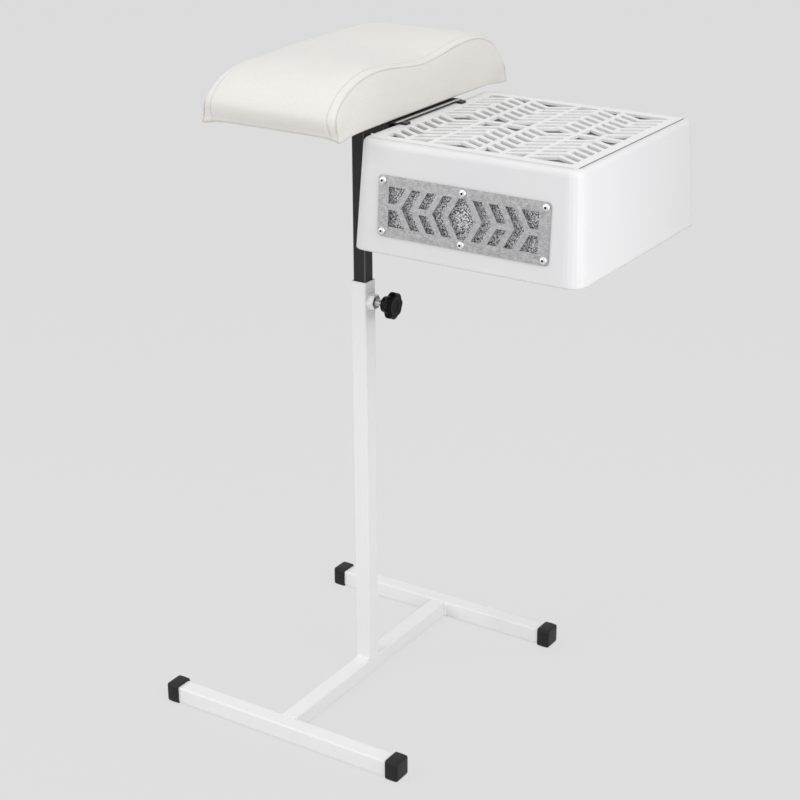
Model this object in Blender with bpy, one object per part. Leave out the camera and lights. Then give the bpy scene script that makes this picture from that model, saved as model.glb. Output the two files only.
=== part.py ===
"""Pedicure footrest: a welded stand, a clamped height post, a calf cushion and a hung dust extractor.

Units are metres, +Z is up. The pieces are drawn in column coordinates: the column's axis is x = 0, y = 0,
+X runs from the column to the extractor's front, and the floor is z = 0. The whole assembly hangs on one
empty that is moved along X so that the origin lies under the middle of the overall box.
"""
import math

import bmesh
import bpy
from mathutils import Matrix, Vector

# Driving dimensions: gaps and fits
FIT_GAP = 0.0003
SLIDE_CLEARANCE = 0.0005
SCREW_CLEARANCE = 0.0003

# Driving dimensions: stand of square tube
TUBE_SIDE = 0.020
TUBE_WALL = 0.0015
TUBE_CORNER = 0.0018
CROSSBAR_LENGTH = 0.321
CROSSBAR_SPACING = 0.3495
COLUMN_TOP = 0.5044
CAP_WALL = 0.0011
CAP_END = 0.0018
CAP_LENGTH = 0.016
CAP_CORNER = 0.0026

# Driving dimensions: clamp screw on the column
CLAMP_DROP = 0.0237
STUD_DIAMETER = 0.008
NUT_ACROSS_FLATS = 0.016
NUT_THICKNESS = 0.0075
KNOB_STANDOFF = 0.0101
KNOB_HUB_DIAMETER = 0.0185
KNOB_HUB_LENGTH = 0.0065
KNOB_HEAD_DIAMETER = 0.032
KNOB_HEAD_LENGTH = 0.0100
KNOB_LOBES = 8
KNOB_SCALLOP = 0.0017
KNOB_GRIP_DEPTH = 0.010

# Driving dimensions: sliding post and the bracket on its top
POST_WALL = 0.0015
POST_CORNER = 0.0012
POST_INSERTED = 0.250
SEAT_PLATE_X = 0.100
SEAT_PLATE_Y = 0.120
SEAT_PLATE_THICKNESS = 0.003
SEAT_PLATE_CORNER = 0.008
ARM_HEIGHT = 0.030
RAIL_LENGTH = 0.140
RAIL_THICKNESS = 0.005
RAIL_CLEARANCE = 0.0015

# Driving dimensions: cushion and its board
CUSHION_BOTTOM = 0.7105
CUSHION_DEPTH = 0.172
CUSHION_LENGTH = 0.332
NEAR_CREST = 0.0545
CREST_DIP = 0.0475
BACK_CREST_DIP = 0.055
FAR_CREST = 0.056
NEAR_END_ROUND = 0.080
FAR_END_ROUND = 0.066
HEM_HEIGHT = 0.013
HEM_TUCK = 0.0025
SIDE_ROUND = 0.014
SIDE_BULGE = 0.0015
SIDE_LEAN = 0.005
SIDE_DRAW = 0.0015
CROWN = 0.006
BOARD_THICKNESS = 0.012
BOARD_MARGIN = 0.008
SEAT_SCREW_DIAMETER = 0.004
SEAT_SCREW_LENGTH = 0.012
SEAT_SCREW_INSET = 0.012

# Driving dimensions: extractor hood
HOOD_REAR = 0.076
HOOD_LENGTH = 0.265
HOOD_WIDTH = 0.274
HOOD_HEIGHT = 0.1147
HOOD_TOP_CLEARANCE = 0.0043
HOOD_DRAFT = 0.007
HOOD_WALL = 0.003
HOOD_CORNER = 0.018
HOOD_EDGE = 0.006
RIM_FRONT = 0.0065
RIM_SIDE = 0.0095
LEDGE_WIDTH = 0.005
LEDGE_THICKNESS = 0.003
OPENING_CORNER = 0.006
BASE_PLATE_THICKNESS = 0.003
BASE_PLATE_INSET = 0.001
BOSS_RADIUS = 0.005
BOSS_HEIGHT = 0.018
BOSS_SINK = 0.0008
SMALL_SCREW_DIAMETER = 0.003
SMALL_SCREW_LENGTH = 0.009
PAN_HEAD_DIAMETER = 0.0075
PAN_HEAD_HEIGHT = 0.0022

# Driving dimensions: hanger strip between the bracket and the hood
HANGER_THICKNESS = 0.002
HANGER_LENGTH = 0.128
HANGER_LIP = 0.018
HANGER_BOLT_DROP = 0.0108
HANGER_SETBACK = 0.001
TAB_SPACING = 0.112
TAB_WIDTH = 0.009
TAB_LEG = 0.009
TAB_LEG_THICKNESS = 0.0012
TAB_CLEARANCE = 0.0005
LIP_ARM_CLEARANCE = 0.006
HANGER_BOLT_SPACING = 0.070
HANGER_BOLT_DIAMETER = 0.005

# Driving dimensions: lift-out grille and filter
GRILLE_THICKNESS = 0.003
GRILLE_MARGIN = 0.013
GRILLE_BANDS = 4
GRILLE_SLOT = 0.0068
GRILLE_BAR = 0.0058
FILTER_DROP = 0.0015
FILTER_THICKNESS = 0.020
FILTER_MARGIN = 0.002
FILTER_FAR_GAP = 0.010
FILTER_NOTCH_LENGTH = 0.062
FILTER_NOTCH_WIDTH = 0.016
TRAY_THICKNESS = 0.003

# Driving dimensions: exhaust sides
SIDE_PLATE_LENGTH = 0.196
SIDE_PLATE_HEIGHT = 0.0625
SIDE_PLATE_THICKNESS = 0.0012
SIDE_PLATE_CORNER = 0.004
SIDE_PLATE_CENTRE = 0.0505
SIDE_PLATE_MARGIN = 0.009
SIDE_SLOT = 0.0092
SIDE_BAR = 0.0066
PLATE_SCREW_INSET = 0.0052
EXHAUST_FILTER_THICKNESS = 0.010

# Driving dimensions: fan under the tray
FAN_SIDE = 0.150
FAN_DEPTH = 0.050
FAN_BORE = 0.140
FAN_FLANGE = 0.005
FAN_HUB_DIAMETER = 0.058
FAN_HUB_DEPTH = 0.024
FAN_BLADES = 7
FAN_TIP_CLEARANCE = 0.0015
FAN_RUN_CLEARANCE = 0.001
FAN_BLADE_THICKNESS = 0.0018
FAN_STRUT_WIDTH = 0.008
FAN_STRUT_DEPTH = 0.006
FAN_SHAFT_DIAMETER = 0.005
FAN_BOLT_INSET = 0.008
FAN_BOLT_DIAMETER = 0.004

# Driving dimensions: switch and mains inlet on the hood's rear wall
FITTING_HEIGHT = 0.032
SWITCH_OFFSET = 0.050
SWITCH_WIDTH = 0.013
SWITCH_HEIGHT = 0.019
SWITCH_DEPTH = 0.016
SWITCH_RECESS = 0.011
SWITCH_FLANGE = 0.0016
SWITCH_LAP = 0.0015
ROCKER_TILT = math.radians(9)
ROCKER_CLEARANCE = 0.0008
ROCKER_CREST = 0.002
ROCKER_PIN = 0.0016
INLET_OFFSET = 0.088
INLET_WIDTH = 0.027
INLET_HEIGHT = 0.020
INLET_DEPTH = 0.026
INLET_FLANGE = 0.0025
INLET_LAP = 0.002
INLET_WALL = 0.0018
INLET_RECESS = 0.019
PIN_WIDTH = 0.002
PIN_HEIGHT = 0.004
PIN_LENGTH = 0.012
PIN_PITCH = 0.007

# Facets on round pieces
CORNER_STEPS = 3
HOOD_CORNER_STEPS = 6
SCREW_SIDES = 8
ROUND_SIDES = 24
KNOB_STEPS = 48
BORE_SIDES = 40

# Sizes that follow from the driving dimensions
BASE_LIFT = CAP_WALL + FIT_GAP
BEAM_TOP = BASE_LIFT + TUBE_SIDE
POST_SIDE = TUBE_SIDE - 2 * TUBE_WALL - 2 * SLIDE_CLEARANCE
CLAMP_HEIGHT = COLUMN_TOP - CLAMP_DROP
SEAT_PLATE_TOP = CUSHION_BOTTOM - FIT_GAP
SEAT_PLATE_BOTTOM = SEAT_PLATE_TOP - SEAT_PLATE_THICKNESS
HOOD_TOP = CUSHION_BOTTOM - HOOD_TOP_CLEARANCE
HOOD_BOTTOM = HOOD_TOP - HOOD_HEIGHT
HOOD_CENTRE = HOOD_REAR + HOOD_LENGTH / 2
HANGER_BOTTOM = HOOD_TOP + FIT_GAP
HANGER_TOP = HANGER_BOTTOM + HANGER_THICKNESS
RAIL_TOP = HANGER_BOTTOM - FIT_GAP
RAIL_BOTTOM = RAIL_TOP - ARM_HEIGHT
GRILLE_BOTTOM = HOOD_TOP - GRILLE_THICKNESS
LEDGE_TOP = GRILLE_BOTTOM - FIT_GAP
FILTER_TOP = GRILLE_BOTTOM - FILTER_DROP
FILTER_BOTTOM = FILTER_TOP - FILTER_THICKNESS
TRAY_TOP = FILTER_BOTTOM - FIT_GAP
TRAY_BOTTOM = TRAY_TOP - TRAY_THICKNESS
FAN_TOP = TRAY_BOTTOM - FIT_GAP
FAN_BOTTOM = FAN_TOP - FAN_DEPTH
BASE_PLATE_TOP = HOOD_BOTTOM + BASE_PLATE_INSET + BASE_PLATE_THICKNESS
STAND_BACK = -(CROSSBAR_LENGTH / 2 + FIT_GAP + CAP_END)
COLUMN_X = -(HOOD_REAR + HOOD_LENGTH + STAND_BACK) / 2


# Shapes: outlines, rings and skins
def rounded_rectangle(half_x, half_y, radius, steps=CORNER_STEPS):
    """Points round a rectangle with arc corners, counter-clockwise from the +X side."""
    points = []
    for quarter, (sign_x, sign_y) in enumerate(((1, 1), (-1, 1), (-1, -1), (1, -1))):
        for step in range(steps + 1):
            angle = math.pi / 2 * (quarter + step / steps)
            x = sign_x * (half_x - radius) + radius * math.cos(angle)
            y = sign_y * (half_y - radius) + radius * math.sin(angle)
            points.append((x, y))
    return points


def circle(radius, sides=ROUND_SIDES):
    """Points round a circle, counter-clockwise from +X."""
    return [(radius * math.cos(2 * math.pi * i / sides), radius * math.sin(2 * math.pi * i / sides))
            for i in range(sides)]


def hexagon(across_flats, sides=ROUND_SIDES):
    """A hexagon's outline read at even angles, so that it can be skinned to a circle of as many points."""
    points = []
    for i in range(sides):
        angle = 2 * math.pi * i / sides
        from_flat = (angle + math.pi / 6) % (math.pi / 3) - math.pi / 6
        radius = across_flats / 2 / math.cos(from_flat)
        points.append((radius * math.cos(angle), radius * math.sin(angle)))
    return points


def ring(points, height, centre=(0.0, 0.0)):
    """Lift a flat outline to a height."""
    return [Vector((x + centre[0], y + centre[1], height)) for x, y in points]


def loft(rings, closed=False):
    """Skin rings of equal count; a closed loft joins its last ring to its first, an open one is capped."""
    bm = bmesh.new()
    rows = [[bm.verts.new(point) for point in row] for row in rings]
    pairs = list(zip(rows, rows[1:]))
    if closed:
        pairs.append((rows[-1], rows[0]))
    for lower, upper in pairs:
        for i, vertex in enumerate(lower):
            j = (i + 1) % len(lower)
            bm.faces.new((vertex, lower[j], upper[j], upper[i]))
    if not closed:
        bm.faces.new(list(reversed(rows[0])))
        bm.faces.new(rows[-1])
    bmesh.ops.recalc_face_normals(bm, faces=bm.faces)
    return bm


def prism(points, low, high):
    """A flat outline drawn up from one height to another."""
    return loft([ring(points, low), ring(points, high)])


def block(low, high):
    """A box between two corners."""
    centre = (Vector(low) + Vector(high)) / 2
    half = (Vector(high) - Vector(low)) / 2
    outline = [(half.x, half.y), (-half.x, half.y), (-half.x, -half.y), (half.x, -half.y)]
    return moved(prism(outline, -half.z, half.z), Matrix.Translation(centre))


def turned(profile, sides=SCREW_SIDES):
    """A solid of revolution about Z from pairs of radius and height."""
    return loft([ring(circle(radius, sides), height) for radius, height in profile])


def moved(bm, matrix):
    """Carry a shape by a matrix."""
    bmesh.ops.transform(bm, matrix=matrix, verts=bm.verts)
    return bm


def grouped(shapes):
    """Put separate solids into one mesh."""
    together = bmesh.new()
    for shape in shapes:
        mesh = bpy.data.meshes.new("loose_solid")
        shape.to_mesh(mesh)
        shape.free()
        together.from_mesh(mesh)
        bpy.data.meshes.remove(mesh)
    return together


def square_tube(side_x, side_y, wall, corner, length):
    """A hollow tube along Z, open at both ends."""
    inner_corner = max(corner - wall, corner / 4)
    outer = rounded_rectangle(side_x / 2, side_y / 2, corner)
    inner = rounded_rectangle(side_x / 2 - wall, side_y / 2 - wall, inner_corner)
    return loft([ring(outer, 0), ring(outer, length), ring(inner, length), ring(inner, 0)], closed=True)


def pan_screw(diameter, length, head_diameter, head_height):
    """A pan-head screw along Z: the head's seat is at zero, the head above it and the shank below."""
    head = head_diameter / 2
    return turned([
        (diameter / 2, -length),
        (diameter / 2, 0),
        (head, 0),
        (head, head_height * 0.45),
        (head * 0.68, head_height),
    ])


ALONG_X = Matrix.Rotation(math.pi / 2, 4, "Y")
ALONG_Y = Matrix.Rotation(-math.pi / 2, 4, "X")


# Objects: finishes, pivots, pieces and cuts
def finish(name, colour, roughness, metallic=0.0):
    """A material with one Principled shader."""
    material = bpy.data.materials.new(name)
    material.use_nodes = True
    shader = material.node_tree.nodes["Principled BSDF"]
    shader.inputs["Base Color"].default_value = (*colour, 1.0)
    shader.inputs["Roughness"].default_value = roughness
    shader.inputs["Metallic"].default_value = metallic
    return material


def pivot(name, place, parent=None):
    """An empty at a place in column coordinates, which carries the pieces that move together."""
    empty = bpy.data.objects.new(name, None)
    bpy.context.collection.objects.link(empty)
    empty["place"] = place
    empty.parent = parent
    offset = Vector(parent["place"]) if parent else Vector((-COLUMN_X, 0, 0))
    empty.location = Vector(place) - offset
    return empty


def add_piece(name, bm, material, carrier):
    """Make a shape drawn in column coordinates an object whose origin is its carrier's."""
    moved(bm, Matrix.Translation(-Vector(carrier["place"])))
    mesh = bpy.data.meshes.new(name)
    bm.to_mesh(mesh)
    bm.free()
    mesh.shade_smooth()
    mesh.set_sharp_from_angle(angle=math.radians(32))
    piece = bpy.data.objects.new(name, mesh)
    bpy.context.collection.objects.link(piece)
    piece.parent = carrier
    if material:
        mesh.materials.append(material)
    return piece


def add_each(name, shapes, material, carrier):
    """Make repeated pieces, such as screws, numbered objects."""
    for number, shape in enumerate(shapes, 1):
        add_piece("%s_%d" % (name, number), shape, material, carrier)


def change(piece, name, bm, operation):
    """Cut a shape out of a piece, or weld it on, with an exact Boolean and a hidden tool."""
    tool = add_piece(name, bm, None, piece.parent)
    tool.hide_render = True
    tool.display_type = "WIRE"
    modifier = piece.modifiers.new(name, "BOOLEAN")
    modifier.operation = operation
    modifier.object = tool
    modifier.solver = "EXACT"
    return piece


def cut(piece, name, bm):
    """Take a shape out of a piece."""
    return change(piece, name, bm, "DIFFERENCE")


def weld(piece, name, bm):
    """Join a shape to a piece."""
    return change(piece, name, bm, "UNION")


# Stand
def crossbar(name, y, paint, carrier):
    """One foot bar along X at a place across the stand."""
    bar = square_tube(TUBE_SIDE, TUBE_SIDE, TUBE_WALL, TUBE_CORNER, CROSSBAR_LENGTH)
    place = Matrix.Translation((-CROSSBAR_LENGTH / 2, y, BASE_LIFT + TUBE_SIDE / 2))
    add_piece(name, moved(bar, place @ ALONG_X), paint, carrier)


def end_cap(name, side, y, plastic, carrier):
    """A plastic sleeve with a closed, rounded end, pushed over the end of a foot bar."""
    inside = TUBE_SIDE / 2 + FIT_GAP
    outside = inside + CAP_WALL
    bore = rounded_rectangle(inside, inside, TUBE_CORNER)
    sleeve = rounded_rectangle(outside, outside, CAP_CORNER)
    end = rounded_rectangle(outside - CAP_CORNER / 2, outside - CAP_CORNER / 2, CAP_CORNER)
    floor = CAP_LENGTH - CAP_END
    cap = loft([
        ring(bore, floor),
        ring(bore, 0),
        ring(sleeve, 0),
        ring(sleeve, CAP_LENGTH - CAP_CORNER / 2),
        ring(end, CAP_LENGTH),
    ])
    mouth = CROSSBAR_LENGTH / 2 + FIT_GAP - floor
    place = Matrix.Translation((side * mouth, y, BASE_LIFT + TUBE_SIDE / 2))
    turn = ALONG_X if side > 0 else Matrix.Rotation(-math.pi / 2, 4, "Y")
    add_piece(name, moved(cap, place @ turn), plastic, carrier)


def stand(carrier, paint, plastic):
    """The H-shaped foot, the column on its middle and the caps on its ends."""
    bar_y = CROSSBAR_SPACING / 2
    crossbar("front_crossbar", -bar_y, paint, carrier)
    crossbar("rear_crossbar", bar_y, paint, carrier)
    for row, y in (("front", -bar_y), ("rear", bar_y)):
        end_cap(row + "_left_cap", -1, y, plastic, carrier)
        end_cap(row + "_right_cap", 1, y, plastic, carrier)

    beam_length = CROSSBAR_SPACING - TUBE_SIDE - 2 * FIT_GAP
    beam = square_tube(TUBE_SIDE, TUBE_SIDE, TUBE_WALL, TUBE_CORNER, beam_length)
    place = Matrix.Translation((0, -beam_length / 2, BASE_LIFT + TUBE_SIDE / 2))
    add_piece("centre_beam", moved(beam, place @ ALONG_Y), paint, carrier)

    foot = BEAM_TOP + FIT_GAP
    tube = square_tube(TUBE_SIDE, TUBE_SIDE, TUBE_WALL, TUBE_CORNER, COLUMN_TOP - foot)
    column = add_piece("column_tube", moved(tube, Matrix.Translation((0, 0, foot))), paint, carrier)
    hole = prism(circle(STUD_DIAMETER / 2 + SCREW_CLEARANCE), 0, TUBE_SIDE)
    cut(column, "stud_hole", moved(hole, Matrix.Translation((0, 0, CLAMP_HEIGHT)) @ ALONG_X))


# Clamp
def clamp_nut(carrier, paint):
    """A hexagon nut welded to the column round the stud's hole."""
    outline = hexagon(NUT_ACROSS_FLATS)
    chamfered = hexagon(NUT_ACROSS_FLATS - NUT_THICKNESS / 6)
    bore = circle(STUD_DIAMETER / 2 + SCREW_CLEARANCE)
    nut = loft([
        ring(outline, 0),
        ring(outline, NUT_THICKNESS * 0.85),
        ring(chamfered, NUT_THICKNESS),
        ring(bore, NUT_THICKNESS),
        ring(bore, 0),
    ], closed=True)
    place = Matrix.Translation((TUBE_SIDE / 2 + FIT_GAP, 0, CLAMP_HEIGHT))
    add_piece("clamp_nut", moved(nut, place @ ALONG_X), paint, carrier)


def lobed(radius, scallop, sides=KNOB_STEPS):
    """A circle with even finger scallops round it."""
    points = []
    for i in range(sides):
        angle = 2 * math.pi * i / sides
        wave = abs(math.cos(angle * KNOB_LOBES / 2)) ** 1.6
        reach = radius - scallop * (1 - wave)
        points.append((reach * math.cos(angle), reach * math.sin(angle)))
    return points


def clamp_screw(stud_carrier, knob_carrier, steel, plastic):
    """The clamp's stud, whose tip bears on the post, and the lobed knob on its outer end."""
    knob_start = Vector(knob_carrier["place"]).x
    tip = POST_SIDE / 2 + FIT_GAP
    stud_end = knob_start + KNOB_GRIP_DEPTH
    stud_length = stud_end - tip
    radius = STUD_DIAMETER / 2
    stud = turned([(radius * 0.8, 0), (radius, radius * 0.2), (radius, stud_length)], ROUND_SIDES)
    place = Matrix.Translation((tip, 0, CLAMP_HEIGHT))
    add_piece("clamp_stud", moved(stud, place @ ALONG_X), steel, stud_carrier)

    bore = circle(radius + SCREW_CLEARANCE, KNOB_STEPS)
    hub = KNOB_HUB_DIAMETER / 2
    head = KNOB_HEAD_DIAMETER / 2
    end = KNOB_HUB_LENGTH + KNOB_HEAD_LENGTH
    knob = loft([
        ring(bore, KNOB_GRIP_DEPTH + FIT_GAP),
        ring(bore, 0),
        ring(circle(hub * 0.9, KNOB_STEPS), 0),
        ring(circle(hub, KNOB_STEPS), KNOB_HUB_LENGTH * 0.3),
        ring(circle(hub, KNOB_STEPS), KNOB_HUB_LENGTH),
        ring(lobed(head * 0.9, KNOB_SCALLOP), KNOB_HUB_LENGTH + KNOB_HEAD_LENGTH * 0.12),
        ring(lobed(head, KNOB_SCALLOP), KNOB_HUB_LENGTH + KNOB_HEAD_LENGTH * 0.3),
        ring(lobed(head, KNOB_SCALLOP), KNOB_HUB_LENGTH + KNOB_HEAD_LENGTH * 0.72),
        ring(lobed(head * 0.93, KNOB_SCALLOP * 0.9), KNOB_HUB_LENGTH + KNOB_HEAD_LENGTH * 0.9),
        ring(lobed(head * 0.78, KNOB_SCALLOP * 0.6), end),
        ring(circle(head * 0.55, KNOB_STEPS), end - KNOB_HEAD_LENGTH * 0.05),
    ])
    place = Matrix.Translation((knob_start, 0, CLAMP_HEIGHT))
    add_piece("clamp_knob", moved(knob, place @ ALONG_X), plastic, knob_carrier)


# Post and bracket
def rail_front():
    """Where the bracket's rail ends, just clear of the hood's leaning rear wall."""
    inset, _ = hood_inset(RAIL_BOTTOM)
    return HOOD_REAR + inset - RAIL_CLEARANCE


def post_and_bracket(carrier, paint):
    """The sliding post, the plate that carries the cushion, and the arm and rail that carry the hood."""
    post_top = SEAT_PLATE_BOTTOM - FIT_GAP
    post_bottom = COLUMN_TOP - POST_INSERTED
    post = square_tube(POST_SIDE, POST_SIDE, POST_WALL, POST_CORNER, post_top - post_bottom)
    add_piece("inner_post", moved(post, Matrix.Translation((0, 0, post_bottom))), paint, carrier)

    outline = rounded_rectangle(SEAT_PLATE_X / 2, SEAT_PLATE_Y / 2, SEAT_PLATE_CORNER)
    plate = add_piece("seat_plate", prism(outline, SEAT_PLATE_BOTTOM, SEAT_PLATE_TOP), paint, carrier)
    holes = [
        moved(prism(circle(SEAT_SCREW_DIAMETER / 2 + SCREW_CLEARANCE, SCREW_SIDES),
                    SEAT_PLATE_BOTTOM - FIT_GAP, SEAT_PLATE_TOP + FIT_GAP), Matrix.Translation((x, y, 0)))
        for x, y in seat_screw_places()
    ]
    cut(plate, "seat_plate_holes", grouped(holes))

    rail_back = rail_front() - RAIL_THICKNESS
    arm_start = POST_SIDE / 2 + FIT_GAP
    arm_length = rail_back - FIT_GAP - arm_start
    arm = square_tube(ARM_HEIGHT, POST_SIDE, POST_WALL, POST_CORNER, arm_length)
    place = Matrix.Translation((arm_start, 0, RAIL_TOP - ARM_HEIGHT / 2))
    add_piece("bracket_arm", moved(arm, place @ ALONG_X), paint, carrier)

    half = RAIL_LENGTH / 2
    rail = block((rail_back, -half, RAIL_BOTTOM), (rail_front(), half, RAIL_TOP))
    bar = add_piece("hanger_rail", rail, paint, carrier)
    cut(bar, "rail_bolt_holes", hanger_bolt_shapes(SCREW_CLEARANCE, FIT_GAP))


def hanger_bolt_shapes(swell, reach):
    """The two bolts' shanks through lip and rail, swollen by a clearance where they serve as cutters."""
    lip_back = rail_front() - RAIL_THICKNESS - FIT_GAP - HANGER_THICKNESS
    height = HANGER_TOP - HANGER_BOLT_DROP
    shanks = []
    for side in (-1, 1):
        shank = prism(circle(HANGER_BOLT_DIAMETER / 2 + swell, SCREW_SIDES),
                      -reach, rail_front() - lip_back + reach)
        place = Matrix.Translation((lip_back, side * HANGER_BOLT_SPACING / 2, height))
        shanks.append(moved(shank, place @ ALONG_X))
    return grouped(shanks)


def rim_edge():
    """X of the inner edge of the hood's rim, on the side of the post."""
    inset, _ = hood_inset(HOOD_TOP)
    return HOOD_REAR + inset + RIM_FRONT


def tab_leg_place():
    """X of the two faces of the hanger's legs, which hang just inside the hood's ledge."""
    start = rim_edge() + LEDGE_WIDTH + FIT_GAP
    return start, start + TAB_LEG_THICKNESS


def hanger(carrier, steel, bright):
    """A folded strip: lips bolted behind the rail, a flat over the hood's rim, two tabs hooked in at the ledge."""
    back = rail_front() - RAIL_THICKNESS - FIT_GAP - HANGER_THICKNESS
    front = rim_edge() - HANGER_SETBACK
    leg_start, tab_end = tab_leg_place()
    half = HANGER_LENGTH / 2
    arm_gap = POST_SIDE / 2 + LIP_ARM_CLEARANCE
    strip = add_piece("hanger_strip", block((back, -half, HANGER_BOTTOM), (front, half, HANGER_TOP)),
                      steel, carrier)
    for side, word in ((-1, "near"), (1, "far")):
        lip_ends = sorted((side * arm_gap, side * half))
        lip = block((back, lip_ends[0], HANGER_TOP - HANGER_LIP),
                    (back + HANGER_THICKNESS, lip_ends[1], HANGER_TOP - HANGER_THICKNESS / 2))
        weld(strip, word + "_lip", lip)
        middle = side * TAB_SPACING / 2
        tab = block((front - HANGER_THICKNESS, middle - TAB_WIDTH / 2, HANGER_BOTTOM),
                    (tab_end, middle + TAB_WIDTH / 2, HANGER_TOP))
        weld(strip, word + "_tab", tab)
        leg = block((leg_start, middle - TAB_WIDTH / 2, HANGER_TOP - TAB_LEG),
                    (tab_end, middle + TAB_WIDTH / 2, HANGER_TOP - HANGER_THICKNESS / 2))
        weld(strip, word + "_leg", leg)
    cut(strip, "lip_bolt_holes", hanger_bolt_shapes(SCREW_CLEARANCE, FIT_GAP))

    bolts = []
    shank = HANGER_BOLT_DIAMETER
    length = HANGER_THICKNESS + FIT_GAP + RAIL_THICKNESS
    height = HANGER_TOP - HANGER_BOLT_DROP
    for side in (-1, 1):
        bolt = pan_screw(shank, length, shank * 1.9, shank * 0.6)
        place = Matrix.Translation((back - FIT_GAP, side * HANGER_BOLT_SPACING / 2, height))
        bolts.append(moved(bolt, place @ Matrix.Rotation(-math.pi / 2, 4, "Y")))
    add_each("hanger_bolt", bolts, bright, carrier)


# Cushion
def eased(value):
    """A smooth step from 0 to 1."""
    value = min(max(value, 0.0), 1.0)
    return value * value * (3 - 2 * value)


def crest_height(y, dip):
    """The cushion's top edge along its length: a low hump, a middle of some height and a higher hump."""
    low = -CUSHION_LENGTH / 4
    high = CUSHION_LENGTH * 0.29
    if y < 0:
        return NEAR_CREST + (dip - NEAR_CREST) * eased((y - low) / -low)
    return dip + (FAR_CREST - dip) * eased(y / high)


def end_rounding(distance, length):
    """A quarter ellipse that lifts the top from the hem within a length of an end."""
    run = min(distance / length, 1.0)
    return math.sqrt(max(1 - (1 - run) ** 2, 0.0))


def cushion_height(y, dip):
    """Height of the cushion's edge over its underside at a place along it."""
    near = end_rounding(y + CUSHION_LENGTH / 2, NEAR_END_ROUND)
    far = end_rounding(CUSHION_LENGTH / 2 - y, FAR_END_ROUND)
    return HEM_HEIGHT + (crest_height(y, dip) - HEM_HEIGHT) * near * far


def half_section(y, dip, wall_steps=3, arc_steps=4):
    """One side of a cross-section: tucked hem, a side that leans in and swells, and a round shoulder."""
    height = cushion_height(y, dip)
    along = 2 * y / CUSHION_LENGTH
    half = CUSHION_DEPTH / 2 - SIDE_DRAW * (1 - along * along)
    arc = min(SIDE_ROUND, height * 0.6)

    def side(z):
        swell = SIDE_BULGE * height / NEAR_CREST * math.sin(math.pi * z / height)
        return half - SIDE_LEAN * z / NEAR_CREST + swell

    points = [(half - HEM_TUCK, 0.0)]
    for step in range(1, wall_steps + 1):
        z = (height - arc) * step / wall_steps
        points.append((side(z), z))
    shoulder = side(height - arc) - arc
    for step in range(1, arc_steps + 1):
        angle = math.pi / 2 * step / arc_steps
        points.append((shoulder + arc * math.cos(angle), height - arc + arc * math.sin(angle)))
    return points


def cushion_section(y, top_steps=6):
    """A cross-section: the side that dips in the middle, a crowned top, and the straighter side behind."""
    right = half_section(y, CREST_DIP)
    left = [(-x, z) for x, z in reversed(half_section(y, BACK_CREST_DIP))]
    (start_x, start_z), (end_x, end_z) = right[-1], left[0]
    rise = CROWN * eased((start_z - HEM_HEIGHT) / (CREST_DIP - HEM_HEIGHT))
    top = []
    for step in range(1, top_steps):
        share = step / top_steps
        bow = rise * (1 - (2 * share - 1) ** 2)
        top.append((start_x + (end_x - start_x) * share, start_z + (end_z - start_z) * share + bow))
    return [Vector((x, y, CUSHION_BOTTOM + z)) for x, z in right + top + left]


def cushion(carrier, leather, wood, bright, stations=26):
    """The padded cushion, its plywood board let in from below, and the screws that hold it."""
    sections = []
    for station in range(stations + 1):
        y = -CUSHION_LENGTH / 2 * math.cos(math.pi * station / stations)
        sections.append(cushion_section(y))
    pad = add_piece("cushion", loft(sections), leather, carrier)
    board_x = CUSHION_DEPTH / 2 - SIDE_DRAW - BOARD_MARGIN
    board_y = CUSHION_LENGTH / 2 - BOARD_MARGIN
    pocket = block((-board_x - FIT_GAP, -board_y - FIT_GAP, CUSHION_BOTTOM - BOARD_THICKNESS),
                   (board_x + FIT_GAP, board_y + FIT_GAP, CUSHION_BOTTOM + BOARD_THICKNESS + FIT_GAP))
    cut(pad, "board_pocket", pocket)

    outline = rounded_rectangle(board_x, board_y, BOARD_MARGIN)
    board = add_piece("cushion_board",
                      prism(outline, CUSHION_BOTTOM, CUSHION_BOTTOM + BOARD_THICKNESS), wood, carrier)
    pilots = []
    screws = []
    seat = SEAT_PLATE_BOTTOM - FIT_GAP
    depth = SEAT_SCREW_LENGTH + FIT_GAP
    for x, y in seat_screw_places():
        pilot = prism(circle(SEAT_SCREW_DIAMETER / 2 + SCREW_CLEARANCE, SCREW_SIDES),
                      CUSHION_BOTTOM - FIT_GAP, seat + depth)
        pilots.append(moved(pilot, Matrix.Translation((x, y, 0))))
        screw = pan_screw(SEAT_SCREW_DIAMETER, SEAT_SCREW_LENGTH,
                          SEAT_SCREW_DIAMETER * 2, SEAT_SCREW_DIAMETER * 0.65)
        screws.append(moved(screw, Matrix.Translation((x, y, seat)) @ Matrix.Rotation(math.pi, 4, "X")))
    cut(board, "board_pilot_holes", grouped(pilots))
    add_each("seat_screw", screws, bright, carrier)


def seat_screw_places():
    """The four screws near the corners of the seat plate."""
    x = SEAT_PLATE_X / 2 - SEAT_SCREW_INSET
    y = SEAT_PLATE_Y / 2 - SEAT_SCREW_INSET
    return [(x, y), (-x, y), (-x, -y), (x, -y)]


# Hood
def hood_inset(height):
    """How far the drafted walls have drawn in at a height, and the corner radius left there."""
    inset = HOOD_DRAFT * (height - HOOD_BOTTOM) / HOOD_HEIGHT
    return inset, HOOD_CORNER - inset / 3


def hood_ring(height, level, inward=0.0, across=0.0, corner=None):
    """A ring of the hood at a height, drawn in from the wall's line at a level, more along X or Y."""
    inset, radius = hood_inset(level)
    half_x = HOOD_LENGTH / 2 - inset - inward
    half_y = HOOD_WIDTH / 2 - inset - inward - across
    radius = corner if corner else max(radius - inward, HOOD_WALL)
    return ring(rounded_rectangle(half_x, half_y, radius, HOOD_CORNER_STEPS), height, (HOOD_CENTRE, 0))


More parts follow.
